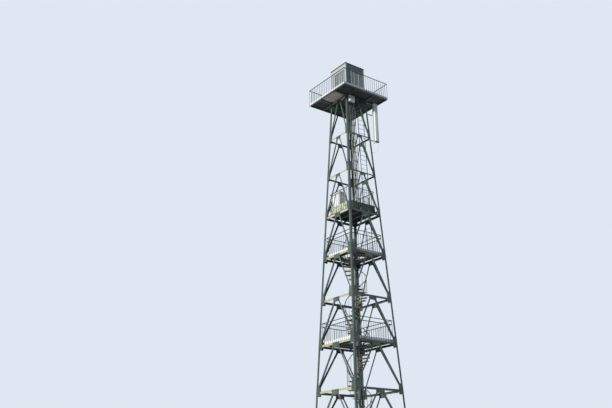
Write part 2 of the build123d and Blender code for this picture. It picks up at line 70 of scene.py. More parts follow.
def choose(*pieces: Object) -> None:
    """Selects only the given pieces, or nothing, and makes the first one active.

    Args:
        pieces: The objects to select.
    """
    bpy.ops.object.select_all(action="DESELECT")
    for piece in reversed(pieces):
        piece.select_set(True)
        bpy.context.view_layer.objects.active = piece


def add(primitive: Callable[..., object], **settings: object) -> Object:
    """Adds a primitive, with its place, turn and scale in its own shape.

    Args:
        primitive: The operator that adds it.
        settings: The operator's settings.

    Returns:
        The new object, at the origin.
    """
    choose()
    primitive(**settings)
    bpy.ops.object.transform_apply(location=True, rotation=True, scale=True)
    return bpy.context.active_object


@contextmanager
def editing(piece: Object, mode: str = "FACE", action: str = "DESELECT") -> Iterator[bmesh.types.BMesh]:
    """Opens a piece in edit mode with nothing or everything selected.

    Args:
        piece: The mesh object to edit.
        mode: Select mode, VERT, EDGE or FACE.
        action: SELECT to start with everything selected.

    Yields:
        The edit mesh, in which parts are then selected.
    """
    choose(piece)
    bpy.ops.object.mode_set(mode="EDIT")
    bpy.ops.mesh.select_mode(type=mode)
    bpy.ops.mesh.select_all(action=action)
    yield bmesh.from_edit_mesh(piece.data)
    bpy.ops.object.mode_set(mode="OBJECT")


def pick(parts: Iterable, test: Callable[..., bool]) -> None:
    """Selects the faces, edges or vertices that pass a test.

    Args:
        parts: Faces, edges or vertices of an edit mesh.
        test: Says whether one of them is wanted.
    """
    for part in [part for part in parts if test(part)]:
        part.select_set(True)


def soften(piece: Object, width: float, segments: int = 2, angle: float = 40) -> Object:
    """Rounds the sharp edges of a piece with an applied bevel.

    Args:
        piece: The object to soften.
        width: Bevel width in metres.
        segments: Steps across the bevel.
        angle: Edges sharper than this many degrees are rounded.

    Returns:
        The same object.
    """
    choose(piece)
    bevel = piece.modifiers.new("soft_edges", "BEVEL")
    bevel.width = width
    bevel.segments = segments
    bevel.limit_method = "ANGLE"
    bevel.angle_limit = math.radians(angle)
    bpy.ops.object.modifier_apply(modifier=bevel.name)
    return piece


def smooth(piece: Object, angle: float = 35) -> Object:
    """Shades a piece smooth except at sharp edges.

    Args:
        piece: The mesh object.
        angle: Edges sharper than this many degrees stay sharp.

    Returns:
        The same object.
    """
    choose(piece)
    bpy.ops.object.shade_smooth_by_angle(angle=math.radians(angle))
    return piece


def block(low: Sequence[float], high: Sequence[float], edge: float = 0.0, segments: int = 2) -> Object:
    """Adds a cuboid between two corners.

    Args:
        low: Lowest corner in metres.
        high: Highest corner in metres.
        edge: Width of its rounded edges in metres, 0 to leave them sharp.
        segments: Steps across each rounded edge.

    Returns:
        The new object.
    """
    low, high = Vector(low), Vector(high)
    piece = add(bpy.ops.mesh.primitive_cube_add, size=1, location=(low + high) / 2, scale=high - low)
    return soften(piece, edge, segments) if edge else piece


def cylinder(radius: float, low: float, high: float, sides: int) -> Object:
    """Adds an upright cylinder on the Z axis, its rims left sharp.

    Args:
        radius: Its radius in metres.
        low: Height of its foot.
        high: Height of its head.
        sides: Facets round it.

    Returns:
        The new object.
    """
    return add(bpy.ops.mesh.primitive_cylinder_add, vertices=sides, radius=radius, depth=high - low,
               location=(0, 0, (low + high) / 2))


def rod(start: Sequence[float], end: Sequence[float], radius: float, sides: int = 12, edge: float = 0.002) -> Object:
    """Adds a round bar between two points, its rims taken off.

    Args:
        start: One end in metres.
        end: Other end in metres.
        radius: Bar radius in metres.
        sides: Facets round the bar.
        edge: Width of the rim's chamfer in metres.

    Returns:
        The new object.
    """
    start, end = Vector(start), Vector(end)
    axis = end - start
    piece = add(bpy.ops.mesh.primitive_cylinder_add, vertices=sides, radius=radius, depth=axis.length,
                location=(start + end) / 2, rotation=axis.to_track_quat("Z", "Y").to_euler())
    return smooth(soften(piece, edge, 1, 60))


def upright(x: float, y: float, low: float, high: float, radius: float, sides: int) -> Object:
    """Adds an upright round bar between two heights."""
    return rod((x, y, low), (x, y, high), radius, sides)


def join(pieces: Sequence[Object]) -> Object:
    """Joins several objects into the first one.

    Args:
        pieces: The objects to join.

    Returns:
        The joined object.
    """
    choose(*pieces)
    if len(pieces) > 1:
        bpy.ops.object.join()
    return pieces[0]


def repeat(master: Object, places: Iterable[Matrix | Point], grain_step: float = 0.0) -> Object:
    """Copies a finished shape to each place, each copy with its own mesh, and joins the copies.

    Args:
        master: The shape that is modelled once, which is used up.
        places: Where each copy goes.
        grain_step: How far the grain map slides from one copy to the next, in metres.

    Returns:
        The joined copies.
    """
    copies = []
    for number, place in enumerate(places):
        copy = master.copy()
        copy.data = master.data.copy()
        copy.data.transform(place if isinstance(place, Matrix) else Matrix.Translation(place))
        bpy.context.scene.collection.objects.link(copy)
        if grain_step:
            for corner in copy.data.uv_layers["grain"].data:
                corner.uv += Vector((grain_step * (number * 7 % 23), grain_step * (number * 5 % 11)))
        copies.append(copy)
    bpy.data.objects.remove(master)
    return join(copies)


def turned(piece: Object, turn: int) -> Object:
    """Turns a piece about the tower's axis by quarters."""
    piece.data.transform(TURNS[turn])
    return piece


def lay_grain(piece: Object) -> Object:
    """Gives a board along X a map that runs with its grain, in metres.

    Args:
        piece: The mesh object.

    Returns:
        The same object.
    """
    layer = piece.data.uv_layers.new(name="grain")
    for corner, loop in zip(layer.data, piece.data.loops):
        place = piece.data.vertices[loop.vertex_index].co
        corner.uv = (place.x, place.y + place.z)
    return piece


def carve(piece: Object, cutter: Object) -> Object:
    """Cuts one shape out of a piece and removes the cutter.

    Args:
        piece: The object that is cut.
        cutter: The shape that is taken out.

    Returns:
        The cut object.
    """
    choose(piece)
    cut = piece.modifiers.new("cut", "BOOLEAN")
    cut.operation = "DIFFERENCE"
    cut.solver = "EXACT"
    cut.object = cutter
    bpy.ops.object.modifier_apply(modifier=cut.name)
    bpy.data.objects.remove(cutter)
    return piece


def slice_off(piece: Object, angle: float, side: int = 1) -> Object:
    """Cuts away what lies past an upright plane through the Z axis.

    Args:
        piece: The object that is cut.
        angle: Turn of the plane from X, in radians.
        side: 1 to cut away what lies to the left of the plane, -1 for the right.

    Returns:
        The cut object.
    """
    with editing(piece, action="SELECT"):
        bpy.ops.mesh.bisect(plane_co=(0, 0, 0), plane_no=(-side * math.sin(angle), side * math.cos(angle), 0),
                            use_fill=True, clear_outer=True)
    return piece


def panelled(piece: Object, margin: float, depth: float, *normals: Point) -> Object:
    """Sinks or raises a panel in each face of a piece that looks one of the given ways.

    Args:
        piece: The mesh object.
        margin: Width of the border in metres.
        depth: How far the panel is pushed in, below zero to raise it.
        normals: Directions that the faces look in.

    Returns:
        The same object.
    """
    for facing in map(Vector, normals):
        with editing(piece) as shape:
            pick(shape.faces, lambda face: face.normal.dot(facing) > 0.99)
            bpy.ops.mesh.inset(thickness=margin, depth=0)
            bpy.ops.mesh.extrude_region_move(TRANSFORM_OT_translate={"value": facing * -depth})
    return piece


def peaked(piece: Object, margin: float, rise: float) -> Object:
    """Lifts the middle of a piece's top face, so that the border slopes.

    Args:
        piece: The mesh object.
        margin: Width of the sloping border in metres.
        rise: How far the middle is lifted in metres.

    Returns:
        The same object.
    """
    with editing(piece) as shape:
        pick(shape.faces, lambda face: face.normal.z > 0.9)
        bpy.ops.mesh.inset(thickness=margin, depth=0)
        bpy.ops.transform.translate(value=(0, 0, rise))
    return piece


def round_corners(piece: Object, radius: float, segments: int) -> Object:
    """Rounds the upright edges of a block.

    Args:
        piece: The block.
        radius: Radius of its corners in metres.
        segments: Steps round each corner.

    Returns:
        The same object.
    """
    with editing(piece, "EDGE") as shape:
        pick(shape.edges, lambda edge: abs(edge.verts[0].co.z - edge.verts[1].co.z) > 0.01)
        bpy.ops.mesh.bevel(offset=radius, segments=segments, affect="EDGES")
    return piece


def face_out(piece: Object) -> Object:
    """Merges doubled vertices, turns every face of a swept piece outwards and shades it smooth.

    Args:
        piece: The mesh object.

    Returns:
        The same object.
    """
    with editing(piece, "VERT", "SELECT"):
        bpy.ops.mesh.remove_doubles(threshold=WELD_REACH)
        bpy.ops.mesh.normals_make_consistent(inside=False)
    return smooth(piece, 50)


# Finishes


class Slot(Enum):
    """The record's material slots."""

    GREEN_PAINT = "green_paint"
    PALE_PAINT = "pale_paint"
    GALVANISED = "galvanised_steel"
    DECK = "deck_timber"
    TREAD = "tread_timber"
    CLADDING = "cabin_cladding"
    ROOF = "roof_sheet"
    GLASS = "window_glass"
    CABLE = "cable_sheath"
    RADOME = "radome"
    ENAMEL = "white_enamel"


def linear(code: str) -> Colour:
    """Turns an sRGB hex colour into a linear one.

    Args:
        code: Six hex digits.

    Returns:
        Red, green, blue and alpha.
    """
    parts = [int(code[place:place + 2], 16) / 255 for place in (0, 2, 4)]
    red, green, blue = (part / 12.92 if part <= 0.04045 else ((part + 0.055) / 1.055) ** 2.4 for part in parts)
    return red, green, blue, 1.0


def plug(tree: NodeTree, node: Node, inputs: Inputs) -> None:
    """Links a node's inputs to sockets, or sets them to values.

    Args:
        tree: The node tree.
        node: The node.
        inputs: An output socket, a value or a hex colour for each input, in order or by name or number.
    """
    for place, value in inputs.items() if isinstance(inputs, Mapping) else enumerate(inputs):
        if isinstance(value, NodeSocket):
            tree.links.new(value, node.inputs[place])
        else:
            node.inputs[place].default_value = linear(value) if isinstance(value, str) else value


def add_node(tree: NodeTree, kind: str, inputs: Inputs, output: int | str = 0, **settings: object) -> NodeSocket:
    """Adds one node with its settings and links.

    Args:
        tree: The node tree.
        kind: Type of the node, without the word ShaderNode before it.
        inputs: What goes to each input.
        output: The output that is wanted.
        settings: Other settings of the node.

    Returns:
        The wanted output.
    """
    node = tree.nodes.new("ShaderNode" + kind)
    for name, value in settings.items():
        setattr(node, name, value)
    plug(tree, node, inputs)
    return node.outputs[output]


@dataclass(frozen=True)
class Finish:
    """A finish that becomes one material."""

    name: str
    slot: Slot

    def inputs(self, tree: NodeTree, coords: NodeSocket) -> dict[str, object]:
        """Adds the nodes of the finish.

        Args:
            tree: The material's node tree.
            coords: Object coordinates.

        Returns:
            What goes to each input of the shader.
        """
        raise NotImplementedError

    def build(self) -> Material:
        """Builds the material.

        Returns:
            The new material.
        """
        material = bpy.data.materials.new(self.name)
        material.use_nodes = True
        tree = material.node_tree
        plug(tree, tree.nodes["Principled BSDF"], self.inputs(tree, add_node(tree, "TexCoord", (), "Object")))
        return material


@dataclass(frozen=True)
class PaintedSteel(Finish):
    """Brushed alkyd paint on steel: it chalks in the sun, runs dirty in streaks and rusts below joints."""

    colour: str
    faded: str
    dirt: str
    rust: str = "7a4a2c"
    rust_share: float = 0.5
    dirt_share: float = 0.45
    roughness: float = 0.42
    joint_pitch: float = 2.5
    ring: str | None = None
    primer: str | None = None
    primed_ring: float = 17.44
    painted_sun_colour: str | None = None

    def inputs(self, tree: NodeTree, coords: NodeSocket) -> dict[str, object]:
        """Adds the paint's nodes.

        Args:
            tree: The material's node tree.
            coords: Object coordinates.

        Returns:
            What goes to each input of the shader.
        """
        # Chalked patches are about 0.8 m across
        patches = add_node(tree, "TexNoise", {"Vector": coords, "Scale": 1.3, "Detail": 5.0})
        chalk = add_node(tree, "MapRange", (patches, 0.4, 0.64))
        paint = add_node(tree, "Mix", {0: chalk, 6: self.colour, 7: self.faded}, 2, data_type="RGBA")
        height = add_node(tree, "SeparateXYZ", (coords,), 2)
        bays = add_node(tree, "Math", (height, self.joint_pitch), operation="DIVIDE")
        share = add_node(tree, "Math", (bays,), operation="FRACT")
        if self.ring:
            paint = self.ring_paint(tree, height, share, paint)
        # Optional painted sunlight on faces that look to -X
        if self.painted_sun_colour:
            paint = self.paint_sunlit_faces(tree, coords, paint)
        # Rain streaks are about 40 mm wide and 1 m long
        drawn = add_node(tree, "Mapping", {"Vector": coords, "Scale": (24.0, 24.0, 0.9)})
        streaks = add_node(tree, "TexNoise", {"Vector": drawn, "Scale": 1.0, "Detail": 4.0})
        grime = add_node(tree, "MapRange", (streaks, 0.5, 0.74, 0.0, self.dirt_share))
        soiled = add_node(tree, "Mix", {0: grime, 6: paint, 7: self.dirt}, 2, data_type="RGBA")
        # Rust starts at the joints, one every 2.5 m, and runs down about half a metre
        near = add_node(tree, "MapRange", (share, 0.74, 1.0, 0.0, 0.1))
        blotches = add_node(tree, "TexNoise", {"Vector": coords, "Scale": 9.0, "Detail": 9.0, "Roughness": 0.68})
        lifted = add_node(tree, "Math", (blotches, near), operation="ADD")
        rusty = add_node(tree, "MapRange", (lifted, 0.66, 0.72, 0.0, self.rust_share))
        colour = add_node(tree, "Mix", {0: rusty, 6: soiled, 7: self.rust}, 2, data_type="RGBA")
        dull = add_node(tree, "MapRange", (lifted, 0.4, 0.74, self.roughness - 0.08, self.roughness + 0.3))
        # Brush marks and blisters of 3 to 5 mm
        peel = add_node(tree, "TexNoise", {"Vector": coords, "Scale": 230.0, "Detail": 2.0})
        raised = add_node(tree, "Math", (peel, 0.4, rusty), operation="MULTIPLY_ADD")
        bump = add_node(tree, "Bump", {"Strength": 0.35, "Distance": 0.002, "Height": raised})
        return {"Base Color": colour, "Roughness": dull, "Normal": bump}

    def paint_sunlit_faces(self, tree: NodeTree, coords: NodeSocket, paint: NodeSocket) -> NodeSocket:
        """Adds painted sunlight, as pale blotches, on faces that look to the sunny side, along -X.

        Args:
            tree: The material's node tree.
            coords: Object coordinates.
            paint: Colour of the other faces.

        Returns:
            The colour of all faces.
        """
        normal = add_node(tree, "NewGeometry", (), "Normal")
        sunward = add_node(tree, "MapRange", (add_node(tree, "SeparateXYZ", (normal,)), -0.7, -0.3, 1.0, 0.0))
        # Blotches are 60 to 150 mm across
        blotches = add_node(tree, "TexNoise", {"Vector": coords, "Scale": 8.0, "Detail": 4.0})
        mottled = add_node(tree, "MapRange", (blotches, 0.4, 0.52, 0.3))
        # Pale blotches only on faces that look to -X: painted sunlight
        painted_light_share = add_node(tree, "Math", (sunward, mottled), operation="MULTIPLY")
        return add_node(tree, "Mix", {0: painted_light_share, 6: paint, 7: self.painted_sun_colour}, 2, data_type="RGBA")

    def ring_paint(self, tree: NodeTree, height: NodeSocket, share: NodeSocket, paint: NodeSocket) -> NodeSocket:
        """Adds painted sunlight on the level ring beams, as a lighter coat, and bare primer on the seventh one.

        Args:
            tree: The material's node tree.
            height: Height above the ground.
            share: Height within the bay, from 0 to 1.
            paint: Colour of the other bars.

        Returns:
            The colour of all bars.
        """
        # Rings are 80 to 120 mm deep and end every 2.5 m
        on_ring = add_node(tree, "MapRange", (share, 0.948, 0.953))
        # The lighter ring colour is painted sunlight on the beams of the sunlit side
        lighter = add_node(tree, "Mix", {0: on_ring, 6: paint, 7: self.ring}, 2, data_type="RGBA")
        beside = add_node(tree, "Math", (height, self.primed_ring), operation="SUBTRACT")
        off = add_node(tree, "Math", (beside,), operation="ABSOLUTE")
        primed = add_node(tree, "MapRange", (off, 0.08, 0.16, 0.85, 0.0))
        return add_node(tree, "Mix", {0: primed, 6: lighter, 7: self.primer}, 2, data_type="RGBA")


@dataclass(frozen=True)
class ZincCoat(Finish):
    """Hot-dip galvanised steel: a dull grey metal with spangles of crystal."""

    dark: str = "8b9093"
    light: str = "a9adaf"
    bloom: str = "c3c5c1"

    def inputs(self, tree: NodeTree, coords: NodeSocket) -> dict[str, object]:
        """Adds the zinc's nodes.

        Args:
            tree: The material's node tree.
            coords: Object coordinates.

        Returns:
            What goes to each input of the shader.
        """
        # Spangles are 12 to 18 mm across
        spangle = add_node(tree, "TexVoronoi", {"Vector": coords, "Scale": 65.0}, "Color")
        tone, facet = add_node(tree, "SeparateColor", (spangle,)).node.outputs[:2]
        metal = add_node(tree, "Mix", {0: tone, 6: self.dark, 7: self.light}, 2, data_type="RGBA")
        oxide = add_node(tree, "TexNoise", {"Vector": coords, "Scale": 6.0, "Detail": 6.0})
        cover = add_node(tree, "MapRange", (oxide, 0.48, 0.7, 0.0, 0.6))
        colour = add_node(tree, "Mix", {0: cover, 6: metal, 7: self.bloom}, 2, data_type="RGBA")
        rough = add_node(tree, "MapRange", (oxide, 0.3, 0.7, 0.38, 0.66))
        bump = add_node(tree, "Bump", {"Strength": 0.15, "Distance": 0.001, "Height": facet})
        return {"Base Color": colour, "Metallic": 0.85, "Roughness": rough, "Normal": bump}


@dataclass(frozen=True)
class SawnTimber(Finish):
    """Sawn softwood boards: silver-grey where rain and sun reach, darker underneath; the gallery's boards also carry
    painted shade and a pool of painted sunlight underneath.
    """

    underside_colour: str
    weathered: str
    dark: str
    weathering: float = 0.8
    light_patch_colour: str | None = None
    light_patch_middle: Point = (0.0, 0.0, 0.0)
    light_patch_reach: float = 0.6

    def inputs(self, tree: NodeTree, coords: NodeSocket) -> dict[str, object]:
        """Adds the timber's nodes, on the pieces' own grain map.

        Args:
            tree: The material's node tree.
            coords: Object coordinates.

        Returns:
            What goes to each input of the shader.
        """
        grain = add_node(tree, "UVMap", (), uv_map="grain")
        # Each board has its own tone, because its map lies elsewhere
        boards = add_node(tree, "TexNoise", {"Vector": grain, "Scale": 0.35, "Detail": 1.0})
        tone = add_node(tree, "MapRange", (boards, 0.35, 0.65))
        # Growth rings show as bands 6 to 15 mm wide and up to a metre long
        drawn = add_node(tree, "Mapping", {"Vector": grain, "Scale": (1.6, 85.0, 1.0)})
        bands = add_node(tree, "TexNoise", {"Vector": drawn, "Scale": 1.0, "Detail": 5.0, "Distortion": 0.6})
        late = add_node(tree, "MapRange", (bands, 0.42, 0.68, 0.0, 0.75))
        # Knots are about 20 mm across, one every half metre or so
        knots = add_node(tree, "TexVoronoi", {"Vector": grain, "Scale": 4.5}, "Distance")
        knot = add_node(tree, "MapRange", (knots, 0.05, 0.14, 0.8, 0.0))
        normal = add_node(tree, "NewGeometry", (), "Normal")
        upward = add_node(tree, "MapRange", (
            add_node(tree, "SeparateXYZ", (normal,), 2), -0.3, 0.5, 0.0, self.weathering))
        underside_colour = self.paint_light_patch(tree, coords) if self.light_patch_colour else self.underside_colour
        aged = add_node(tree, "Mix", {0: upward, 6: underside_colour, 7: self.weathered}, 2, data_type="RGBA")
        lighter = add_node(tree, "HueSaturation", {"Color": aged, "Value": 1.22, "Saturation": 0.9})
        varied = add_node(tree, "Mix", {0: tone, 6: aged, 7: lighter}, 2, data_type="RGBA")
        banded = add_node(tree, "Mix", {0: late, 6: varied, 7: self.dark}, 2, data_type="RGBA")
        knotted = add_node(tree, "Mix", {0: knot, 6: banded, 7: self.dark}, 2, data_type="RGBA")
        rough = add_node(tree, "MapRange", (bands, 0.3, 0.7, 0.66, 0.88))
        bump = add_node(tree, "Bump", {"Strength": 0.5, "Distance": 0.003, "Height": bands})
        return {"Base Color": knotted, "Roughness": rough, "Normal": bump}

    def paint_light_patch(self, tree: NodeTree, coords: NodeSocket) -> NodeSocket:
        """Adds a pool of painted sunlight on the underside, as a patch of pale colour.

        Args:
            tree: The material's node tree.
            coords: Object coordinates.

        Returns:
            The underside colour with the painted light in it.
        """
        # The patch's edge wanders by about 0.3 m
        wander = add_node(tree, "TexNoise", {"Vector": coords, "Scale": 1.7, "Detail": 3.0})
        away = add_node(tree, "VectorMath", (coords, self.light_patch_middle), "Value", operation="DISTANCE")
        edge = add_node(tree, "Math", (wander, 0.7, away), operation="MULTIPLY_ADD")
        lit_share = add_node(tree, "MapRange", (edge, self.light_patch_reach + 0.3, self.light_patch_reach + 0.45, 1.0, 0.0))
        return add_node(tree, "Mix", {0: lit_share, 6: self.underside_colour, 7: self.light_patch_colour}, 2, data_type="RGBA")


@dataclass(frozen=True)
class CoatedSheet(Finish):
    """Factory-coated sheet, trim, enamel or moulded shell: an even colour with dust, run marks and a slight ripple."""

    colour: str
    dust: str
    roughness: float = 0.38
    ripple: float = 0.12

    def inputs(self, tree: NodeTree, coords: NodeSocket) -> dict[str, object]:
        """Adds the coating's nodes.

        Args:
            tree: The material's node tree.
            coords: Object coordinates.

        Returns:
            What goes to each input of the shader.
        """
        # Dust runs down in streaks about 60 mm wide
        drawn = add_node(tree, "Mapping", {"Vector": coords, "Scale": (16.0, 16.0, 1.4)})
        runs = add_node(tree, "TexNoise", {"Vector": drawn, "Scale": 1.0, "Detail": 6.0, "Roughness": 0.6})
        marks = add_node(tree, "MapRange", (runs, 0.45, 0.75, 0.0, 0.5))
        colour = add_node(tree, "Mix", {0: marks, 6: self.colour, 7: self.dust}, 2, data_type="RGBA")
        rough = add_node(tree, "MapRange", (runs, 0.3, 0.75, self.roughness - 0.06, self.roughness + 0.22))
        # Thin sheet ripples every 150 mm or so
        waves = add_node(tree, "TexNoise", {"Vector": coords, "Scale": 6.5, "Detail": 1.0})
        bump = add_node(tree, "Bump", {"Strength": self.ripple, "Distance": 0.004, "Height": waves})
        return {"Base Color": colour, "Roughness": rough, "Normal": bump}


@dataclass(frozen=True)
class FloatGlass(Finish):
    """Clear float glass with a film of dust; its grey tint is a painted reflection of bright surroundings."""

    reflection_grey: str = "a9b0ad"

    def inputs(self, tree: NodeTree, coords: NodeSocket) -> dict[str, object]:
        """Adds the glass's nodes.

        Args:
            tree: The material's node tree.
            coords: Object coordinates.

        Returns:
            What goes to each input of the shader.
        """
        # The film is thicker in patches about 0.2 m across
        film = add_node(tree, "TexNoise", {"Vector": coords, "Scale": 5.0, "Detail": 5.0})
        rough = add_node(tree, "MapRange", (film, 0.4, 0.7, 0.02, 0.16))
        # The grey shown where the glass does not transmit is a painted reflection
        return {"Base Color": self.reflection_grey, "Transmission Weight": 0.4, "IOR": 1.52, "Roughness": rough}


class Coat(Enum):
    """Every finish that the tower shows."""

    GREEN = PaintedSteel("green_alkyd_paint", Slot.GREEN_PAINT, "3b4945", "566258", "2b302c")
    DARK_GREEN = PaintedSteel("dark_green_alkyd_paint", Slot.GREEN_PAINT, "293430", "3e4942", "232523")
    # The left side faces the sun: its lighter coat and lighter ring beams are painted sunlight
    BLEACHED = PaintedSteel("sun_bleached_green_alkyd_paint", Slot.GREEN_PAINT, "434f4b", "616c5e", "3e4238",
                            rust="96704e", rust_share=0.7, ring="adae85", primer="c9bdac")
    # The skirt's faces that look to -X get pale blotches: painted sunlight
    MOTTLED = PaintedSteel("mottled_green_alkyd_paint", Slot.GREEN_PAINT, "2c4239", "3f5548", "232c27", painted_sun_colour="c8ccb2")
    PALE = PaintedSteel("cream_alkyd_paint", Slot.PALE_PAINT, "ecece4", "f6f6f0", "8a8b80", rust_share=0.35,
                        dirt_share=0.3)
    ZINC = ZincCoat("hot_dip_galvanised_steel", Slot.GALVANISED)
    DECKING = SawnTimber("weathered_pine_decking", Slot.DECK, "35322e", "8f8b82", "262220")
    # The gallery boards' dark blue-grey underside colour is painted shade over the weathered timber
    GALLERY_DECKING = SawnTimber("part_stripped_pine_decking", Slot.DECK, "26282b", "8f8b82", "241f1c",
                                 # The pale patch under the gallery is painted sunlight
                                 light_patch_colour="f0e0cc", light_patch_middle=(-1.1, 0.05, 25.08))
    STEPS = SawnTimber("oiled_larch_steps", Slot.TREAD, "a98d78", "9c948a", "64503f", weathering=0.6)
    WALL = CoatedSheet("coil_coated_wall_sheet", Slot.CLADDING, "a7aaa6", "8b8d86")
    # Darker sheet for the walls that face away from the sun: painted shade
    DARK_WALL = CoatedSheet("dark_coil_coated_sheet", Slot.CLADDING, "2c424c", "3f545b", 0.34)
    TRIM = CoatedSheet("pale_aluminium_trim", Slot.CLADDING, "b6b9b4", "94968e", 0.33)
    ROOF = CoatedSheet("dark_green_roof_sheet", Slot.ROOF, "18211d", "2a342d", 0.4)
    GLASS = FloatGlass("float_glass", Slot.GLASS)
    TAN_CABLE = CoatedSheet("tan_polyethylene_sheath", Slot.CABLE, "8a745c", "b0a48f", 0.5, 0.3)
    GREY_CABLE = CoatedSheet("grey_polyethylene_sheath", Slot.CABLE, "6b6660", "98948b", 0.5, 0.3)
    WHITE_CABLE = CoatedSheet("white_polyethylene_sheath", Slot.CABLE, "cdc8bb", "9d968a", 0.5, 0.3)
    RADOME = CoatedSheet("white_fibreglass_radome", Slot.RADOME, "f3f4f0", "bfc0b8", 0.36)
    ENAMEL = CoatedSheet("white_stove_enamel", Slot.ENAMEL, "f2f4ee", "b7b9ad", 0.3)
    RUBBER = CoatedSheet("black_epdm_rubber", Slot.CABLE, "26272a", "4a4a49", 0.62)


@cache
def material_of(coat: Coat) -> Material:
    """Builds the material of a coat the first time that it is asked for."""
    return coat.value.build()


def finish_piece(piece: Object, name: str, coat: Coat, *replaced: str, slot: Slot | None = None) -> None:
    """Names and dresses a new piece and ties it to the tower.

    Args:
        piece: The finished object.
        name: Name of the piece.
        coat: Its finish.
        replaced: CAD nodes that it stands for.
        slot: Not used; the record's material slot, where it isn't the finish's own.
    """
    piece.name = piece.data.name = name
    piece.data.materials.clear()
    piece.data.materials.append(material_of(coat))
    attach(piece, "root")
    if replaced:
        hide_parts(*replaced)
    LOG.info("%s: new piece in %s", name, coat.value.name)


def dress(coat: Coat, *nodes: str) -> None:
    """Gives CAD nodes a finish.

    Args:
        coat: The finish.
        nodes: Names of the nodes.
    """
    for node in nodes:
        for place in frame["nodes"][node].material_slots:
            place.material = material_of(coat)
        LOG.info("%s: CAD shape in %s", node, coat.value.name)


# Sub-assemblies


@dataclass(frozen=True)
class TowerShape:
    """Lines of the square lattice, which leans in evenly from the ground to the gallery."""

    bay: float = 2.5
    bays: int = 10
    base_half: float = 2.04
    head_half: float = 0.77

    @property
    def lean(self) -> float:
        """How far a side leans in for each metre up."""
        return (self.base_half - self.head_half) / (self.bay * self.bays)

    def half(self, height: float) -> float:
        """Half the tower's width at a height."""
        return self.base_half - self.lean * height

    def on_face(self, across: float, height: float, out: float, turn: int) -> Matrix:
        """Finds a place on one side of the tower.

        Args:
            across: Distance from the side's middle line.
            height: Height above the ground.
            out: Distance out of the legs' outer faces.
            turn: Side number, 0 for the front and on anticlockwise.

        Returns:
            A place whose Z axis points straight out of the side.
        """
        normal = Vector((0, -1, self.lean)).normalized()
        axes = Matrix((RIGHT, Vector((0, self.lean, 1)).normalized(), normal)).transposed().to_4x4()
        origin = Vector((across, -self.half(height), height)) + normal * out
        return TURNS[turn] @ Matrix.Translation(origin) @ axes


@dataclass(frozen=True)
class Fastener:
    """A hexagon head on a washer, modelled once."""

    across_flats: float
    height: float
    washer_radius: float
    washer: float = 0.003
    stud_radius: float = 0.0
    stud_height: float = 0.0
    chamfer_share: float = 0.06
    crown_share: float = 0.12

    def master(self) -> Object:
        """Models the fastener, seated on the plane z = 0.

        Returns:
            The fastener, its axis along Z.
        """
        head = cylinder(self.across_flats / math.sqrt(3), self.washer, self.washer + self.height, 6)
        peaked(head, self.across_flats * self.chamfer_share, self.height * self.crown_share)
        parts = [head, cylinder(self.washer_radius, 0, self.washer, 10)]
        if self.stud_height:
            parts.append(upright(0, 0, 0, self.stud_height, self.stud_radius, 8))
        return join(parts)


@dataclass(frozen=True)
class BayBars:
    """Sizes of the bars and bolts of a bay, and of the ring and the plates at its foot."""

    brace: float
    ring: float
    plate_drop: float
    ring_bolts: tuple[float, ...]


